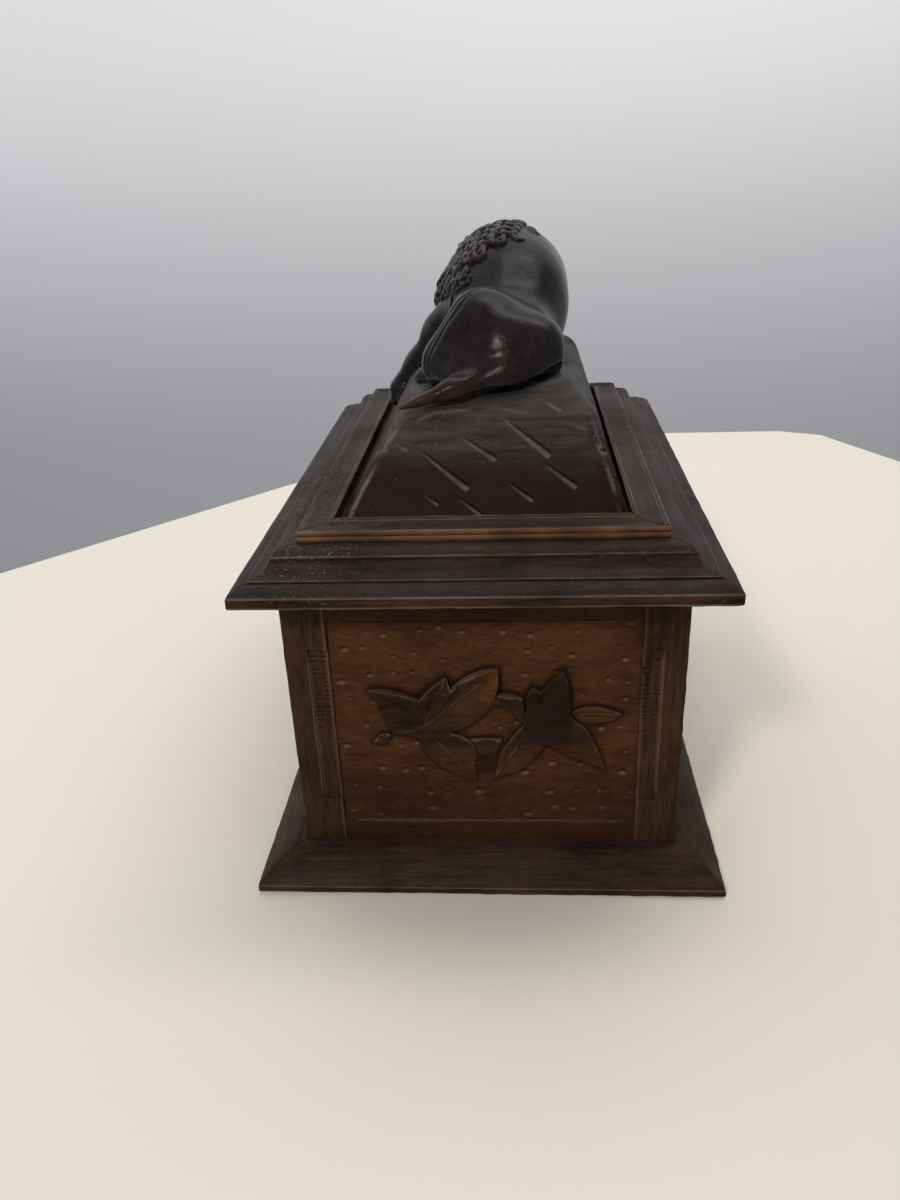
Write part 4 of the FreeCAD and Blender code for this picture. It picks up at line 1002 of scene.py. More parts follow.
def leaf_height(shape, flat, to_edge, seed):
    """Height of a leaf: lobes folded along cut veins, standing off at the top and sinking in below."""
    heart = np.array(shape.heart)
    runs = np.array([np.subtract(tip, heart) for tip in shape.tips])
    veins = [gap_to_line(flat, np.stack([heart, heart + VEIN_SHARE * run])) for run in runs]
    to_vein = np.min([gap for gap, _ in veins], axis=0)
    nearest = np.argmin([gap for gap, _ in veins], axis=0)
    ahead = np.stack([travelled for _, travelled in veins])[nearest, np.arange(len(flat))]
    runs = runs[nearest]
    curl = smooth_step(ahead / np.linalg.norm(runs, axis=1), 0.5, VEIN_SHARE) * (runs[:, 1] > 0)
    lift = np.clip(0.5 + 0.03 * (flat[:, 1] - heart[1]), 0.1, 0.8) + 0.5 * curl
    fold = FOLD_SLOPE * np.minimum(to_vein, FOLD_REACH) * np.clip(lift, 0.35, 1) + 0.34 * bell(to_vein, 0.32)
    side_vein = np.clip(np.cos((ahead - 0.9 * to_vein) * 2 * math.pi / SIDE_VEIN_PITCH), 0, 1) ** 10
    side_vein = -SIDE_VEIN_DEPTH * side_vein * smooth_step(to_vein, 0.5, 1.2)
    waves = swells(np.stack([flat[:, 0], 0 * to_edge, flat[:, 1]], axis=1), seed, LEAF_SWAY)
    return np.maximum(lift + fold + side_vein + waves - 0.3 * np.exp(-to_edge / 0.3), 0.1)


def leaf(shape, seed):
    """Carved leaf on the plane y = 0, closed by an undercut rim and a flat back."""
    edge = leaf_outline(shape, LEAF_GAP)
    flat, faces = leaf_sheet(edge, seed)
    to_edge = gap_to_ring(flat, edge)
    top = np.stack([flat[:, 0], -leaf_height(shape, flat, to_edge, seed), flat[:, 1]], axis=1)
    count = len(top)
    rim = np.flatnonzero(to_edge < 1e-4)
    order = rim[np.argsort([np.argmin(np.sum((edge - flat[corner]) ** 2, axis=1)) for corner in rim])]
    inward = np.array(shape.heart) - flat[order]
    foot = flat[order] + LEAF_UNDERCUT * inward / np.linalg.norm(inward, axis=1)[:, None]
    base = np.stack([foot[:, 0], np.full(len(order), LEAF_FOOT), foot[:, 1]], axis=1)
    for here in range(len(order)):
        there = (here + 1) % len(order)
        faces.append([int(order[here]), int(order[there]), count + there, count + here])
    faces.append([count + here for here in range(len(order))])
    return np.concatenate([top, base]), faces


def spray_marks(points):
    """Warm tone, painted shade over the right leaf, and rubbed ribs of a spray."""
    flat = points[:, [0, 2]]
    x, z = flat.T
    warmth = np.max([smooth_step(-gap_to_line(flat, AMBER_LOBE)[0], -3.4, -0.6),
                     0.4 * smooth_step(-gap_to_line(flat, AMBER_BESIDE)[0], -7, -2),
                     0.45 * smooth_step(-z, 3, 11),
                     0.6 * smooth_step(x, 22, 24) * (z > -0.5)], axis=0)
    # painted shade over the right leaf
    grime = between(x, 8, 12, 20, 24) * smooth_step(z, -9, 0)
    ribs = [gap_to_line(flat, np.array([shape.heart, tip]))[0] for shape in LEAVES for tip in shape.tips]
    rubbed = np.clip(0.4 + 0.8 * soft_noise(points, 3.0, 9), 0, 0.8)
    return warmth, grime, bell(np.min(ribs, axis=0), RIB_WIDTH) * rubbed


def sprays_on(side):
    """Place, width and height of each spray on a side; a negative width mirrors it."""
    if side.endswith("_end"):
        return [(0.0, 1.0, 1.0)]
    (low, high), (end_low, end_high) = node_box(f"leaves_{side}"), node_box("leaves_tail_end")
    scale = (high[2] - low[2]) / (end_high[2] - end_low[2])
    middle = (reach_of(BODY_HIGH, side)[1] - POST_SIZE) / 2
    return [(-middle, scale, scale), (middle, -scale, scale)]


def shade_ground(side):
    """Paint shadow on a board's ground close to the edges of its leaves and in the cleft under the stem."""
    mesh = boards[side].data
    points = turned_back(mesh_arrays(mesh)[0], side)
    grime = np.zeros(len(points))
    levels = (CLEFT["foot"], CLEFT["head"])
    for middle, wide, tall in sprays_on(side):
        flat = (points[:, [0, 2]] - [middle, SPRAY_LEVEL]) / [wide, tall]
        near = np.flatnonzero((np.abs(flat) < SPRAY_REACH).all(axis=1) & (points[:, 1] < 0))
        gap = np.min([gap_to_ring(flat[near], leaf_outline(shape, SHADE_GAP)) for shape in LEAVES], axis=0)
        x, z = flat[near].T
        left, right = (np.interp(z, levels, CLEFT[edge]) for edge in ("left", "right"))
        cleft = smooth_step(np.minimum(x - left, right - x), -0.5, 0.5)
        cleft *= smooth_step(z, CLEFT["foot"] - 1, CLEFT["foot"] + 5) * (z < CLEFT["head"])
        # painted shadow in the cleft and round the leaves
        grime[near] = np.max([grime[near], cleft, 0.75 * bell(gap, GROUND_SHADE)], axis=0)
    mark_more(mesh, "hollow", grime)


SPRAY = join([leaf(shape, SEEDS["leaf"] + number) for number, shape in enumerate(LEAVES)])
SPRAY_WARMTH, SPRAY_SHADE, SPRAY_RIBS = spray_marks(SPRAY[0])
for side in SIDES:
    sprays = sprays_on(side)
    back = GROUND_DEPTH - reach_of(BODY_HIGH, side)[0]
    points, faces = join([(SPRAY[0] * [wide, 1, tall] + [middle, back, SPRAY_LEVEL], SPRAY[1])
                          for middle, wide, tall in sprays])
    piece = piece_of(mesh_of(f"carved_leaves_{side}", turned(points, side), faces), leaf_wood[AXIS[side]])
    mark(piece.data, "tint", np.tile(SPRAY_WARMTH, len(sprays)))
    # rubbed edges stay pale mostly where they face up: wear, and a painted highlight on the upper edges
    mark_patina(piece.data, rounds=2, depth=0.1, down_facing_share=0.2)
    # painted shade over the right leaf
    mark_more(piece.data, "hollow", np.tile(SPRAY_SHADE, len(sprays)))
    mark_more(piece.data, "proud", np.tile(SPRAY_RIBS, len(sprays)))
    shade_ground(side)
    dress(piece, "box", [f"leaves_{side}"], crease=55)


# Carving block for the rock and the lion

FAR = 10.0                  # distances are only kept this far from a surface


class Block:
    """Distances to a carved surface, in millimetres, on a fine grid: negative inside the wood."""

    def __init__(self, low, high, step):
        self.low = np.array(low, float)
        self.step = step
        self.field = np.full(np.ceil((np.array(high) - self.low) / step).astype(int) + 1, FAR, np.float32)

    def part(self, low, high):
        """Slices of the grid over a box, and its grid points."""
        shape = self.field.shape
        first = np.clip(np.floor((np.array(low) - self.low) / self.step).astype(int), 0, shape)
        last = np.clip(np.ceil((np.array(high) - self.low) / self.step).astype(int) + 1, 0, shape)
        axes = [self.low[axis] + self.step * np.arange(first[axis], last[axis]) for axis in range(3)]
        points = np.stack(np.meshgrid(*axes, indexing="ij"), axis=-1).astype(np.float32)
        return tuple(slice(a, b) for a, b in zip(first, last)), points

    def points(self):
        return self.part(self.low, self.low + self.step * np.array(self.field.shape))[1]

    def around(self, start, radius, end, end_radius, melt):
        """Grid slices about a round bar, and distances to it."""
        start, end = np.array(start, float), np.array(end, float)
        room = max(radius, end_radius) + (FAR if melt > 1 else melt + 2)
        where, points = self.part(np.minimum(start, end) - room, np.maximum(start, end) + room)
        length = np.linalg.norm(end - start)
        way = (end - start) / max(length, 1e-6)
        taper = (end_radius - radius) / max(length, 1e-6)
        reach = (points - start) @ way
        aside = np.sqrt(np.maximum(np.sum((points - start) ** 2, axis=-1) - reach ** 2, 0))
        ahead = np.clip(reach + aside * taper / math.sqrt(max(1 - taper ** 2, 0.05)), 0, length)
        return where, np.hypot(aside, reach - ahead) - radius - ahead * taper

    def add_bar(self, start, radius, end, end_radius, melt):
        """Add a round bar from ball to ball; melt is how softly it runs into the rest."""
        where, gap = self.around(start, radius, end, end_radius, melt)
        old = self.field[where]
        close = np.maximum(melt - np.abs(old - gap), 0) / melt
        self.field[where] = np.minimum(old, gap) - close ** 2 * melt / 4

    def cut_bar(self, start, radius, end, end_radius, melt):
        where, gap = self.around(start, radius, end, end_radius, melt)
        old = self.field[where]
        close = np.maximum(melt - np.abs(old + gap), 0) / melt
        self.field[where] = np.maximum(old, -gap) + close ** 2 * melt / 4

    def read(self, points):
        """Distance at each point, taken between the grid's own."""
        spots = np.clip((points - self.low) / self.step, 0, np.array(self.field.shape) - 1.001)
        base = spots.astype(int)
        part = spots - base
        distance = np.zeros(len(points))
        for corner in np.ndindex(2, 2, 2):
            at = base + np.array(corner)
            weight = np.prod(np.where(np.array(corner, bool), part, 1 - part), axis=1)
            distance += weight * self.field[at[:, 0], at[:, 1], at[:, 2]]
        return distance

    def normal(self, points):
        steps = np.eye(3) * self.step
        slope = np.stack([self.read(points + step) - self.read(points - step) for step in steps], axis=1)
        return slope / np.maximum(np.linalg.norm(slope, axis=1), 1e-6)[:, None]

    def onto(self, points, rounds, reach):
        """Points moved onto the surface, and its normals there before the last move."""
        for _ in range(rounds):
            normal = self.normal(points)
            points = points - normal * np.clip(self.read(points), -reach, reach)[:, None]
        return points, normal

    def mesh(self, name):
        grid = openvdb.FloatGrid(FAR)
        grid.copyFromArray(self.field)
        points, quads = grid.convertToQuads(0.0)
        return mesh_of(name, points * self.step + self.low, quads.tolist())


# Rock: a leaning block with gouge strokes

ROCK_FOOT = np.array([[-36.1, -65.1], [36.1, 65.1]])
ROCK_TOP = np.array([[-21.0, -47.0], [28.0, 52.0]])
ROCK_FOOT_Z, ROCK_TOP_Z = LID_HIGH[2], 120.0
ROCK_ROOM = np.array([38.0, 67.0])      # half the width and length of the block that it is carved from
ROCK_STEP = 0.36
ROCK_SHARE = 0.42           # faces left on the rock
ROCK_MELT = 5.0             # how softly its faces run into each other
ROCK_SWAY = ((0.5, 13.0), (0.12, 4.0))
LION_AT = np.array([*ROCK_TOP[0], ROCK_TOP_Z])  # the lion is measured from this corner of the rock's top
MOUND_HEIGHT = 5.2          # the rock swells under the lion's haunch
FRONT_STROKES = [           # start, end (right, up), width and depth of each gouge stroke on the tail face
    ((-17.4, 111.9), (-3.0, 102.7), 2.6, 0.9), ((-7.5, 115.0), (3.8, 108.9), 2.2, 0.8),
    ((-2.5, 114.9), (1.8, 112.6), 1.1, 0.4), ((3.9, 118.3), (17.3, 109.5), 2.8, 1.0),
    ((14.5, 108.3), (23.8, 102.7), 2.4, 0.9), ((5.0, 104.7), (12.9, 100.1), 2.0, 0.7),
    ((-7.8, 101.9), (0.2, 97.0), 2.0, 0.7), ((-15.9, 102.0), (-10.6, 99.4), 1.7, 0.6),
    ((-24.5, 106.3), (-21.0, 104.7), 1.2, 0.4), ((13.9, 121.2), (20.2, 118.6), 1.6, 0.5),
]
FRONT_LEDGES = [            # line of each ledge (right, up), how deep the face lies under it, how far down
    ([(-16.0, 117.2), (-11.6, 118.6), (2.9, 119.4), (17.1, 117.1), (26.0, 114.6)], 0.6, 8.0),
    ([(-28.0, 108.6), (-25.6, 110.3), (-21.5, 111.8), (-19.0, 110.8)], 0.5, 3.0),
]
LEDGE_HIGHLIGHT_REACH = 22.0     # the painted highlight along the ledges lies this close to the foot of the tail face
ROCK_CHIPS = [((29.8, -53.2, 113.4), 3.2), ((-33.5, 20.0, 108.0), 3.0), ((33.5, 38.0, 110.0), 3.2)]
CHIP_MELT = 0.6
STROKE_ROWS = (116.5, 112.0, 107.0, 102.0, 97.5)
STROKE_PITCH = 13.0
STROKE_MARGIN = 4.0
TAIL_SLOT = [(np.array(spot), radius) for spot, radius in (
    ((42.0, 11.5, 6.2), 1.7), ((36.0, 9.2, 5.2), 1.7), ((30.0, 6.4, 4.1), 1.7), ((22.0, 3.3, 2.3), 1.4),
    ((14.0, 1.0, 1.0), 0.9), ((6.0, -0.4, 0.2), 0.4))]
ROCK_SLOT_WAYS = np.array([(0, 0, 0), (0, 1.6, 0.3)])   # how the slot under the tail is widened
LION_SLOT_WAYS = np.array([*ROCK_SLOT_WAYS, (0, -1.4, -1.2), (0, -2.8, -2.4)])
SLOT_MELT = 0.4


def stroke_depth(right, up, start, end, width, depth):
    """Depth of a gouge stroke: steep above its line and shallow below, widest near its lower end."""
    start, end = np.array(start), np.array(end)
    run = end - start
    length = np.hypot(*run)
    ahead = ((right - start[0]) * run[0] + (up - start[1]) * run[1]) / length
    over = ((up - start[1]) * run[0] - (right - start[0]) * run[1]) / length
    share = np.clip(ahead / length, 0, 1)
    ends = between(ahead, -1.0, 1.5, length - 0.5, length + 0.5)
    full = depth * np.sqrt(np.clip(share * 1.15, 0, 1)) * ends
    return np.clip(full - np.maximum(over / (0.12 * width), -over / (0.62 * width)) * depth, 0, None)


def ledge_depth(right, up, line, depth, fade):
    """Depth of a face under a ledge that juts out above it along a line."""
    line = np.array(line)
    first, last = line[0, 0], line[-1, 0]
    edge = np.interp(right, line[:, 0], line[:, 1])
    ends = between(right, first - 1, first + 4, last - 4, last + 1)
    return depth * ends * smooth_step(edge - up, -0.3, 0.3) * smooth_step(up, edge - fade, edge - 0.4)


def side_strokes(half, chance):
    """Gouge strokes in staggered rows over a face of the rock."""
    strokes = []
    for row, level in enumerate(STROKE_ROWS):
        for column in range(round(half * 2 / STROKE_PITCH)):
            start = np.array([STROKE_PITCH * (column + 0.5 * (row % 2)) - half, level])
            start = start + chance.uniform(-2.5, 2.5, 2)
            run = chance.uniform(5, 13) * np.array([0.82, -0.52 - chance.uniform(0, 0.12)])
            strokes.append((start, start + run, chance.uniform(1.5, 2.7), chance.uniform(0.4, 0.95)))
    return strokes


def rock_faces(points):
    """Distance to each leaning face of the rock, where it is near, and its strokes and ledges there."""
    up = points[..., 2]
    rise = ROCK_TOP_Z - ROCK_FOOT_Z
    chance = np.random.default_rng(17)
    for axis, way in ((0, -1), (0, 1), (1, -1), (1, 1)):
        foot, top = ROCK_FOOT[(way + 1) // 2][axis], ROCK_TOP[(way + 1) // 2][axis]
        lean = rise / math.hypot(rise, top - foot)
        face = (points[..., axis] - foot - (top - foot) * (up - ROCK_FOOT_Z) / rise) * way * lean
        near = np.abs(face) < 5
        right = points[..., 1 - axis][near] * (-way if axis else way)
        is_tail_face = axis == 1 and way == -1
        half = ROCK_FOOT[1][1 - axis] - STROKE_MARGIN
        strokes = np.zeros(near.sum())
        for stroke in FRONT_STROKES if is_tail_face else side_strokes(half, chance):
            strokes = np.maximum(strokes, stroke_depth(right, up[near], *stroke))
        ledges = sum(ledge_depth(right, up[near], *ledge) for ledge in FRONT_LEDGES) if is_tail_face else 0
        yield face, near, strokes, ledges


def cut_tail_slot(block, ways):
    """Cut the dark slot between the lion's tail and the rock."""
    for (start, radius), (end, end_radius) in zip(TAIL_SLOT[:-1], TAIL_SLOT[1:]):
        for aside in ways:
            block.cut_bar(LION_AT + start + aside, radius, LION_AT + end + aside, end_radius, SLOT_MELT)


def carved_rock():
    block = Block((*-ROCK_ROOM, ROCK_FOOT_Z - 1), (*ROCK_ROOM, ROCK_TOP_Z + 7), ROCK_STEP)
    points = block.points()
    up = points[..., 2]
    right, ahead, _ = np.moveaxis(points - LION_AT, -1, 0)
    mound = between(right, 0, 30, 40, 48) * between(ahead, -1, 12, 26, 44)
    solid = up - ROCK_TOP_Z - MOUND_HEIGHT * mound
    for face, near, strokes, ledges in rock_faces(points):
        face[near] += strokes + ledges
        close = np.maximum(ROCK_MELT - np.abs(solid - face), 0) / ROCK_MELT
        solid = np.maximum(solid, face) + close ** 2 * ROCK_MELT / 4
    solid += swells(points, 7, ROCK_SWAY)
    block.field = np.clip(np.maximum(solid, ROCK_FOOT_Z - up), -FAR, FAR).astype(np.float32)
    for spot, radius in ROCK_CHIPS:
        block.cut_bar(spot, radius, spot, radius, CHIP_MELT)
    cut_tail_slot(block, ROCK_SLOT_WAYS)
    return block.mesh("carved_rock")


def age_rock(mesh):
    """Mark dust and painted light where strokes face up, painted highlights on ledges and corners,
    and painted shade under the strokes' steep edges.
    """
    points, normals, _ = mesh_arrays(mesh)
    facing = normals[:, 2]
    dust_and_light, under_shade = np.zeros((2, len(points)))
    faces = []
    for face, near, strokes, ledges in rock_faces(points):
        faces.append(face)
        on_face = np.abs(face[near] + strokes + ledges) < 1.6
        level = np.median(facing[near][on_face])
        cut = on_face * smooth_step(strokes, 0.1, 0.35)
        # dust and painted light where a stroke faces up, painted shade under its steep edge
        painted_light = 0.7 * cut * smooth_step(facing[near], level - 0.05, level + 0.15)
        under = cut * smooth_step(-facing[near], 0.12 - level, 0.35 - level)
        dust_and_light[near] = np.maximum(dust_and_light[near], painted_light)
        under_shade[near] = np.maximum(under_shade[near], under)
    closest = np.sort(faces, axis=0)
    # painted highlight along the rock's corners, weaker away from the tail end
    corner = smooth_step(closest[-2] - closest[-1], -1.6, -0.1) * (closest[-1] > -1.5)
    corner *= np.where(points[:, 1] < 0, 1.0, 0.35)
    dust_and_light = np.maximum(dust_and_light, corner * np.clip(0.5 + 0.6 * soft_noise(points, 3.0, 3), 0, 0.9))
    on_tail_face = points[:, 1] < ROCK_FOOT[0, 1] + LEDGE_HIGHLIGHT_REACH
    spared = np.clip(0.6 + 0.6 * soft_noise(points, 5.0, 4), 0, 1)
    # painted highlight along the ledges' edges
    for line, _, _ in FRONT_LEDGES:
        gap = gap_to_line(points[:, [0, 2]], np.array(line))[0]
        dust_and_light = np.maximum(dust_and_light, on_tail_face * bell(gap, 0.35) * spared)
    mark(mesh, "tint", dust_and_light)
    mark(mesh, "hollow", under_shade)


rock = piece_of(carved_rock(), rock_wood)
thin_out(rock, ROCK_SHARE)
age_rock(rock.data)
dress(rock, "lid", ["rock"], crease=80)


# Lion at rest, its head raised, measured from the corner of the rock's top on its lock side and tail end

LION_LOW, LION_HIGH = (-37.0, -66.0, 92.0), (37.0, 66.0, 162.0)
LION_STEP = 0.4
LION_SHARE = 0.65           # faces left on the lion
LION_SWAY = ((0.05, 7.0), (0.04, 2.5))
LION_BODY = [               # round bars: (start, radius, end, radius, melt)
    ((28.0, 27.0, 9.5), 12.4, (27.5, 46.0, 12.8), 13.9, 4),     # loins
    ((27.5, 46.0, 12.5), 14.0, (26.5, 66.0, 14.0), 14.4, 6),    # chest
    ((28.0, 55.0, 19.4), 16.6, (28.0, 63.0, 20.5), 16.6, 8),    # withers
    ((26.5, 17.5, 11.5), 10.6, (33.6, 18.0, 10.9), 8.9, 5),     # rump
    ((21.0, 22.0, 16.8), 9.3, (12.6, 20.8, 7.6), 7.2, 4),       # thigh
    ((12.0, 24.0, 5.0), 6.0, (31.0, 14.5, 6.0), 5.0, 7),        # shank
    ((16.0, 11.5, 4.6), 3.8, (30.0, 12.0, 6.4), 4.9, 8),        # hock
    ((11.0, 26.0, 2.6), 4.0, (4.4, 31.0, 1.2), 2.9, 1.5),       # hind foot
    ((18.0, 60.0, 13.0), 9.5, (9.0, 58.5, 8.4), 6.6, 6),        # shoulder and foreleg draped over the rock
    ((9.5, 58.5, 8.0), 6.0, (0.6, 60.0, -1.2), 4.3, 6),
    ((0.6, 60.0, -1.2), 4.3, (-6.0, 60.3, -8.8), 4.0, 4),
    ((33.6, 66.0, 12.0), 9.0, (36.0, 68.0, 6.5), 6.3, 5),       # shoulder and foreleg resting on the rock
    ((36.0, 68.5, 5.0), 5.6, (33.0, 88.0, 3.2), 4.2, 4),
    ((33.0, 88.5, 2.4), 4.4, (32.0, 94.0, 1.8), 4.0, 3),
    ((25.0, 58.0, 6.0), 10.5, (24.0, 76.0, 4.5), 8.5, 5),       # brisket
    ((38.0, 15.5, 6.8), 2.6, (27.0, 7.6, 5.8), 2.9, 4),         # tail, round the haunch to its pointed tuft
    ((27.0, 7.6, 5.8), 2.9, (13.5, 3.8, 3.4), 2.7, 4),
    ((13.5, 3.8, 3.4), 2.7, (0.6, -0.4, 0.4), 0.7, 3),
]
LION_TOES = [               # (start, end, radius) of the toes of the draped, resting and hind paws
    ((-5.2, 57.0, -8.0), (-6.0, 56.6, -11.2), 1.7), ((-7.0, 58.8, -8.4), (-8.0, 58.8, -12.0), 1.8),
    ((-7.0, 61.4, -8.6), (-8.0, 61.4, -12.2), 1.8), ((-5.2, 63.4, -8.2), (-6.0, 63.8, -11.4), 1.7),
    ((28.8, 93.0, 2.0), (28.0, 96.6, 1.5), 1.7), ((30.8, 94.4, 2.6), (30.4, 98.0, 1.7), 1.8),
    ((33.4, 94.4, 2.6), (33.6, 98.0, 1.7), 1.8), ((35.4, 93.0, 2.0), (36.2, 96.4, 1.5), 1.7),
    ((4.6, 29.2, 1.6), (2.4, 30.6, 0.9), 1.3), ((4.8, 31.0, 2.1), (2.6, 32.6, 1.1), 1.4),
    ((6.0, 32.8, 1.8), (4.2, 34.8, 0.9), 1.3),
]
TOE_MELT = 0.7
LION_MANE = [
    ((26.0, 66.0, 17.0), 14.6, (25.0, 77.0, 21.0), 11.5, 5),
    ((27.5, 62.0, 21.0), 15.2, (25.0, 74.0, 23.5), 11.4, 5),
    ((15.0, 68.0, 16.0), 9.4, (14.8, 79.0, 15.5), 7.4, 4),
    ((34.0, 71.0, 15.0), 7.8, (32.0, 80.0, 15.0), 6.6, 4),
    ((24.0, 78.0, 10.0), 8.0, (21.5, 84.0, 7.0), 5.5, 4),
]
CREASE = [(23.0, 22.0, 26.2), (19.0, 20.0, 25.0), (15.4, 18.5, 21.5), (12.0, 19.0, 16.5), (9.2, 18.5, 11.0),
          (7.6, 18.5, 5.0)]
CREASE_GAP = 0.8
CREASE_RADIUS = 0.65
CREASE_LIFT = 0.25          # the cutter's middle stays this far above the surface
TUFT_LINE = LION_AT + np.array([(17.0, 2.5, 2.4), (3.0, 0.0, 0.6)])     # the tail's tuft is redder

# The head, in its own (right, ahead, up) directions from the middle of the skull
HEAD_AT = LION_AT + (24.0, 80.5, 21.5)
AHEAD = np.array([-0.30, 0.93, -0.20]) / math.hypot(0.30, 0.93, 0.20)
RIGHT = np.cross(AHEAD, [0, 0, 1]) / np.linalg.norm(np.cross(AHEAD, [0, 0, 1]))
HEAD_AXES = np.array([RIGHT, AHEAD, np.cross(RIGHT, AHEAD)])
HEAD_FORMS = [              # (start, radius, end, radius, melt), and mirrored where it lies to one side
    ((0, -2.0, 0), 10.0, (0, 3.0, 0.5), 9.4, 3), ((0, 8.2, 4.4), 2.6, (4.4, 8.0, 4.6), 2.4, 2.5),
    ((0, 7.5, 3.4), 3.5, (0, 16.0, -0.6), 2.8, 2), ((3.0, 12.0, -3.0), 4.4, (2.6, 16.8, -3.2), 3.6, 1.5),
    ((0, 11.5, -7.2), 4.2, (0, 16.8, -7.2), 3.1, 1.5), ((6.4, 5.0, -3.5), 4.6, (5.0, 9.0, -4.0), 3.6, 3),
]
HEAD_HOLLOWS = [            # (start, end, radius): eye sockets, mouth and lip
    ((4.4, 11.6, 2.0), (4.4, 11.6, 2.0), 2.1), ((0, 19.6, -5.0), (3.2, 17.0, -6.1), 0.6),
    ((3.2, 17.0, -6.1), (6.4, 11.0, -5.2), 0.6), ((0, 20.0, -1.8), (0, 19.8, -5.0), 0.35),
]
HEAD_DETAILS = [            # (start, end, radius): nose, eyes, lids and ears, crisp on the head
    ((0, 18.0, 0.0), (1.6, 17.8, 0.1), 1.6), ((4.2, 9.7, 1.9), (4.2, 9.7, 1.9), 1.95),
    ((2.2, 11.6, 3.0), (6.3, 9.6, 3.0), 0.75), ((2.5, 11.5, 0.6), (6.1, 9.6, 0.8), 0.6),
    ((7.4, 0.0, 7.0), (8.6, 0.4, 9.0), 2.4),
]
HEAD_PITS = [((8.6, 2.6, 9.0), (8.6, 2.6, 9.0), 1.5), ((1.6, 19.6, -0.2), (1.6, 19.6, -0.2), 0.55)]
MANE_RINGS = 14
MANE_PITCH = 3.0
MANE_RING_GAP = 2.8
MANE_RADIUS = 16.0          # about how far the locks lie from the neck's middle
MANE_DROP = 0.22            # the neck's line sinks this much for each step back
MANE_EDGE_AT = LION_AT + np.array([24.2, 45.0, 29.8])   # a point on its rear edge, and the way in from there
MANE_EDGE_WAY = np.array([-0.605, 0.0, 0.797])
MANE_FADE = 4.0             # the locks shrink this close to the rear edge
MANE_FRONT = LION_AT[1] + 71.0      # all round the neck from here on
LOCK_STEPS = 6
LOCK_STEP = 0.86
LOCK_RADIUS = 1.3
LOCK_MELT = 0.35
LOCK_RISE, LOCK_SINK = 2.2, 1.98    # height of a lock over the neck: its size times one, less the other
LOCK_TURN, LOCK_CURL = 10, 8        # degrees that a lock turns at its root, and more with each step
CURL_PIT = ((1.6, 0.6), (0.3, 0.5))     # height over a curl, and radius, of its hollow's top and bottom
CURL_MELT = 0.3


def on_head(spot):
    return HEAD_AT + np.array(spot, float) @ HEAD_AXES


def on_both_halves(work, start, radius, end, end_radius, melt):
    """Add or cut a bar on the head, and the same one mirrored."""
    for way in (1, -1):
        a, b = ((way * x, y, z) for x, y, z in (start, end))
        work(on_head(a), radius, on_head(b), end_radius, melt)


def lion_head(block):
    for form in HEAD_FORMS:
        on_both_halves(block.add_bar, *form)
    for forms, work, melt in ((HEAD_HOLLOWS, block.cut_bar, 0.8), (HEAD_DETAILS, block.add_bar, 0.4),
                              (HEAD_PITS, block.cut_bar, 0.5)):
        for start, end, radius in forms:
            on_both_halves(work, start, radius, end, radius, melt)


def within_mane(spots):
    """How far in from the mane's rear edge each spot lies."""
    return (spots - MANE_EDGE_AT) @ MANE_EDGE_WAY


def mane_roots(block):
    """Where the locks start: rings about the neck from the face back, found on the carved surface."""
    roots, ways = [], []
    chance = np.random.default_rng(29)
    count = round(2 * math.pi * MANE_RADIUS / MANE_PITCH)
    for ring in range(MANE_RINGS):
        back = MANE_RING_GAP * ring - 3.0
        middle = HEAD_AT - AHEAD * back - np.array([0, 0, MANE_DROP * back])
        for number in range(count):
            angle = 2 * math.pi * (number + 0.5 * (ring % 2) + chance.uniform(-0.15, 0.15)) / count
            out = math.cos(angle) * HEAD_AXES[2] + math.sin(angle) * HEAD_AXES[0]
            ray = middle + np.arange(6, 26, 0.3)[:, None] * out
            inside = np.flatnonzero(block.read(ray) < 0)
            spot = ray[inside[-1] if len(inside) else 0]
            in_mane = within_mane(spot) > 0 or spot[1] > MANE_FRONT
            below_jaw = ring == 0 and math.cos(angle) < -0.2
            if in_mane and not below_jaw and spot[2] > ROCK_TOP_Z + 2:
                roots.append(spot)
                ways.append(-0.9 * AHEAD + 0.55 * out - np.array([0, 0, 0.35]))
    return np.array(roots), np.array(ways)


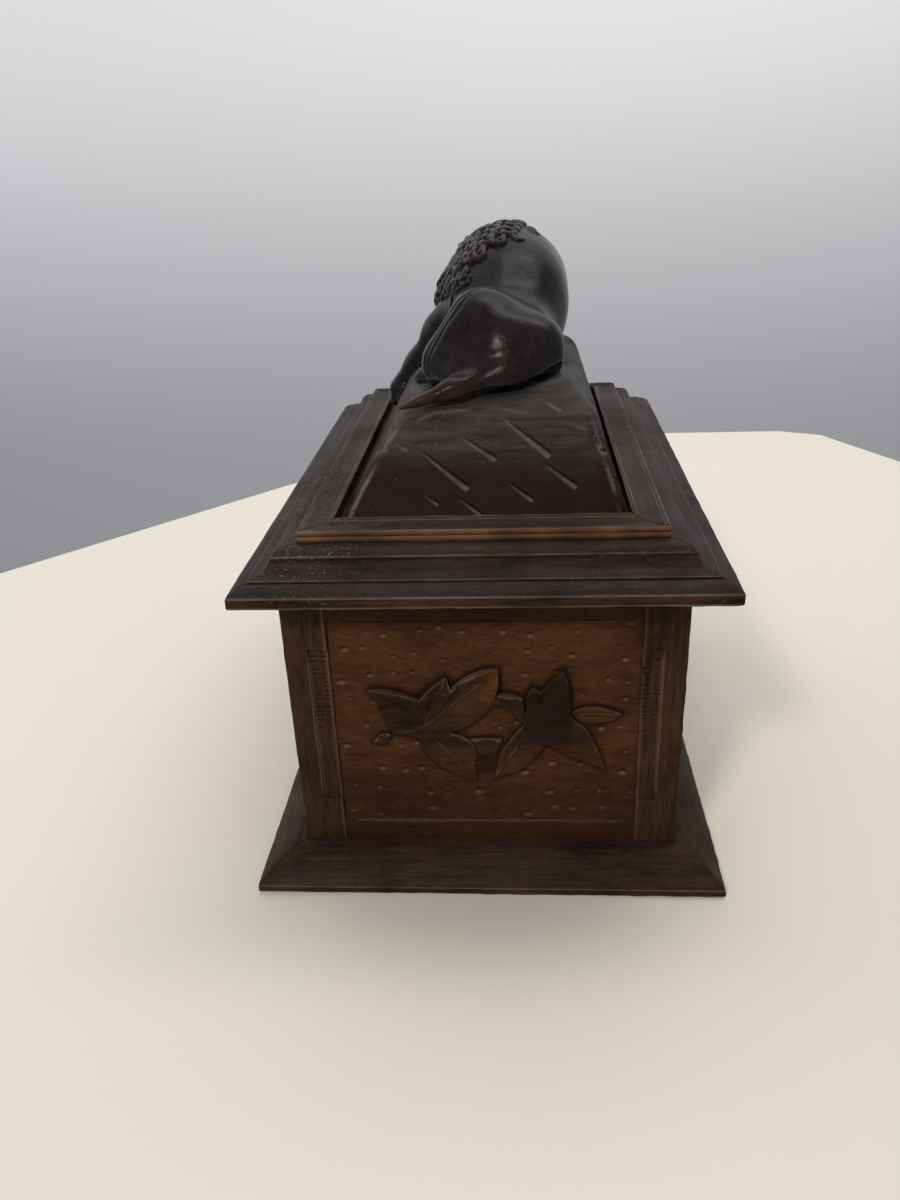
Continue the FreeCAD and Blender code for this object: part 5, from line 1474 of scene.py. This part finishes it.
def comb_mane(block):
    """Lay curling locks over the neck, each following the surface under it, with a hollow in its curl."""
    chance = np.random.default_rng(31)
    neck = Block(block.low, block.low + 1, block.step)
    neck.field = block.field.copy()
    spots, ways = mane_roots(neck)
    hand = np.where(np.arange(len(spots)) % 2, 1.0, -1.0)
    length = chance.uniform(0.85, 1.2, len(spots))
    inside = np.where(spots[:, 1] > MANE_FRONT, MANE_FADE, within_mane(spots))
    size = 0.72 + 0.28 * smooth_step(inside, 0, MANE_FADE)
    trail = []
    for step in range(LOCK_STEPS + 1):
        spots, normal = neck.onto(spots, rounds=3, reach=2)
        trail.append(spots + normal * (LOCK_RISE * size - LOCK_SINK)[:, None])
        ways = ways - normal * np.einsum("ij,ij->i", ways, normal)[:, None]
        ways /= np.linalg.norm(ways, axis=1)[:, None]
        turn = hand * math.radians(LOCK_TURN + LOCK_CURL * step)
        ways = ways * np.cos(turn)[:, None] + np.cross(normal, ways) * np.sin(turn)[:, None]
        spots = spots + ways * (LOCK_STEP * length)[:, None]
    radii = LOCK_RADIUS * np.sin(np.linspace(0.3, 0.8, LOCK_STEPS + 1) * math.pi)
    for lock in range(len(spots)):
        for step in range(LOCK_STEPS):
            start, end = trail[step][lock], trail[step + 1][lock]
            block.add_bar(start, radii[step] * size[lock], end, radii[step + 1] * size[lock], LOCK_MELT)
    for lock in range(len(spots)):
        middle = (trail[-1][lock] + trail[-3][lock] + trail[-5][lock]) / 3
        (top, top_radius), (bottom, bottom_radius) = CURL_PIT
        block.cut_bar(middle + normal[lock] * top, top_radius,
                      middle + normal[lock] * bottom, bottom_radius, CURL_MELT)


def crease_thigh(block):
    """Cut the two lines that set the haunch off from the flank, and say where they run."""
    line = curve_through(CREASE, [0] * len(CREASE), CREASE_GAP, False) + LION_AT
    line, _ = block.onto(line, rounds=4, reach=3)
    normal = block.normal(line)
    aside = np.cross(np.gradient(line, axis=0), normal)
    aside /= np.linalg.norm(aside, axis=1)[:, None]
    width = np.interp(np.linspace(0, 1, len(line)), (0, 0.35, 1), (0.2, 1.3, 0.9))
    paths = [line + aside * (shift * width)[:, None] for shift in (-1, 1)]
    for path in paths:
        cutter = path + CREASE_LIFT * normal
        for start, end in zip(cutter[:-1], cutter[1:]):
            block.cut_bar(start, CREASE_RADIUS, end, CREASE_RADIUS, 0.1)
    return paths


def add_bars(block, bars):
    for start, radius, end, end_radius, melt in bars:
        block.add_bar(LION_AT + start, radius, LION_AT + end, end_radius, melt)


def carved_lion():
    """The lion's mesh, and the creases of its thigh."""
    block = Block(LION_LOW, LION_HIGH, LION_STEP)
    add_bars(block, LION_BODY)
    add_bars(block, [(start, radius, end, radius, TOE_MELT) for start, end, radius in LION_TOES])
    cut_tail_slot(block, LION_SLOT_WAYS)
    block.field += swells(block.points(), 5, LION_SWAY).astype(np.float32)
    creases = crease_thigh(block)
    add_bars(block, LION_MANE)
    lion_head(block)
    comb_mane(block)
    return block.mesh("carved_lion"), creases


def age_lion(mesh, creases):
    """Mark rubbed locks and creases, and the redder tuft of the tail."""
    mark_patina(mesh, rounds=12, depth=0.22)
    points = mesh_arrays(mesh)[0]
    for crease in creases:
        mark_more(mesh, "proud", bell(gap_to_line(points, crease)[0], 0.4))
    mark(mesh, "tint", 0.8 * smooth_step(-gap_to_line(points, TUFT_LINE)[0], -5.0, -1.5))


lion_mesh, lion_creases = carved_lion()
lion = piece_of(lion_mesh, lion_wood)
thin_out(lion, LION_SHARE)
age_lion(lion.data, lion_creases)
dress(lion, "lid", ["lion"], crease=80)


# Velvet linings: boards with soft edges

PILE_ROUNDING = 0.5
for node in four("lining") + ["floor_lining", "lid_lining"]:
    piece = piece_of(box_mesh(f"velvet_{node}", *node_box(node), PILE_ROUNDING), velvet)
    dress(piece, "lid" if node == "lid_lining" else "box", [node])


# Hardware and plain boards keep the frame's own shapes

KEPT_NODES = (
    (steel, ("hinge_pin_tail", "hinge_pin_head", "lock_bolt")),
    (bare_wood, ("bottom_board",)),
    (dark_rail["y"], ("lid_board",)),
    (brass, ("hinge_lower_leaf_tail", "hinge_lower_leaf_head", "hinge_upper_leaf_tail",
             "hinge_upper_leaf_head", "hinge_lower_screws", "hinge_upper_screws", "lock_case", "lock_screws",
             "escutcheon", "escutcheon_pins", "lid_catch", "lid_catch_screws")),
)
for material, names in KEPT_NODES:
    for name in names:
        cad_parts[name].data.materials.clear()
        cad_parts[name].data.materials.append(material)


# Stage: table, wall, lamps and the camera of the photograph, in metres

TABLE_EDGE = [(-0.9, -0.59), (-0.242, 0.126), (-0.127, 0.251), (-0.03, 0.335), (0.03, 0.345), (0.18, 0.342),
              (0.204, 0.331), (0.232, 0.274), (0.5, -0.27), (0.5, -1.2), (-0.9, -1.2)]
TABLE_TONE = (0.6, 0.562, 0.47)
WALL_Y = 0.75
WALL_CORNERS = [(-3, WALL_Y, -1), (3, WALL_Y, -1), (3, WALL_Y, 2), (-3, WALL_Y, 2)]
# the wall's low tone is painted shade, its high one the lit wall
WALL_SHADE_TONES = (0.415, 0.405, 0.4), (0.71, 0.695, 0.68)
TONE_LEVELS = (-0.15, 0.3)  # the wall changes from its painted-shade low tone to its high one between these heights
SKY = (0.8, 0.88, 1.0)
CAMERA_PLACE = Vector((9.10, -286.42, 180.83)) * MM
CAMERA_YAW, CAMERA_PITCH, CAMERA_ROLL = math.radians(-4.614), math.radians(25.573), math.radians(-2.565)
LENS = 28.75


def stage_sheet(name, corners, low_tone, high_tone, roughness):
    """Flat sheet of the stage, its colour changing up its height; on the wall the lower tone is painted
    shade.
    """
    mesh = bpy.data.meshes.new(name)
    mesh.from_pydata(corners, [], [tuple(range(len(corners)))])
    material, tree, shader, place = new_finish(name)
    colour = blend(tree, span(tree, axis_of(tree, place, "Z"), *TONE_LEVELS), low_tone, high_tone)
    tree.links.new(colour, shader.inputs["Base Color"])
    roughen(tree, shader, noise(tree, place, *STAGE_GRIT), 0.12, 1.0 * MM)
    shader.inputs["Roughness"].default_value = roughness
    return piece_of(mesh, material)


def lamp(name, place, aim, size, power, colour):
    light = bpy.data.lights.new(name, "AREA")
    light.shape = "RECTANGLE"
    light.size, light.size_y = size
    light.energy = power
    light.color = colour
    holder = bpy.data.objects.new(name, light)
    holder.location = place
    holder.rotation_euler = (Vector(aim) - Vector(place)).to_track_quat("-Z", "Y").to_euler()
    bpy.context.scene.collection.objects.link(holder)


def light_room(colour, strength):
    world = bpy.data.worlds.new("room")
    world.use_nodes = True
    background = world.node_tree.nodes["Background"]
    background.inputs["Color"].default_value = (*colour, 1)
    background.inputs["Strength"].default_value = strength
    bpy.context.scene.world = world


def aim_camera():
    level_run = math.cos(CAMERA_PITCH)
    forward = Vector((math.sin(CAMERA_YAW) * level_run, math.cos(CAMERA_YAW) * level_run,
                      -math.sin(CAMERA_PITCH)))
    level = Vector((math.cos(CAMERA_YAW), -math.sin(CAMERA_YAW), 0))
    over = level.cross(forward)
    right = math.cos(CAMERA_ROLL) * level + math.sin(CAMERA_ROLL) * over
    up = math.cos(CAMERA_ROLL) * over - math.sin(CAMERA_ROLL) * level
    lens = bpy.data.cameras.new("camera")
    lens.sensor_fit = "AUTO"
    lens.sensor_width = 36.0
    lens.lens = LENS
    lens.clip_start = 0.01
    camera = bpy.data.objects.new("camera", lens)
    turn = Matrix((right, up, -forward)).transposed().to_4x4()
    camera.matrix_world = Matrix.Translation(CAMERA_PLACE) @ turn
    bpy.context.scene.collection.objects.link(camera)
    bpy.context.scene.camera = camera


floor = stage_sheet("table", [(x, y, 0) for x, y in reversed(TABLE_EDGE)], TABLE_TONE, TABLE_TONE, 0.5)
wall = stage_sheet("wall", WALL_CORNERS, *WALL_SHADE_TONES, 0.9)
lamp("ceiling_lamp", (0.0, 0.38, 1.0), (0, 0, 0.08), (1.6, 0.7), 4.4, (1.0, 0.97, 0.93))
lamp("window", (-0.75, 0.45, 0.5), (0, 0, 0.1), (0.7, 0.6), 1.3, (0.9, 0.95, 1.0))
lamp("front_lamp", (-0.3, -0.75, 0.74), (0, 0, 0.06), (0.13, 0.13), 4.8, (1.0, 0.95, 0.88))
lamp("wall_lamp", (0.25, 0.2, 0.9), (0.1, WALL_Y, 0.25), (0.8, 0.4), 4.6, (1.0, 0.98, 0.96))
light_room(SKY, 0.52)
bpy.context.scene.view_settings.view_transform = "Standard"
aim_camera()
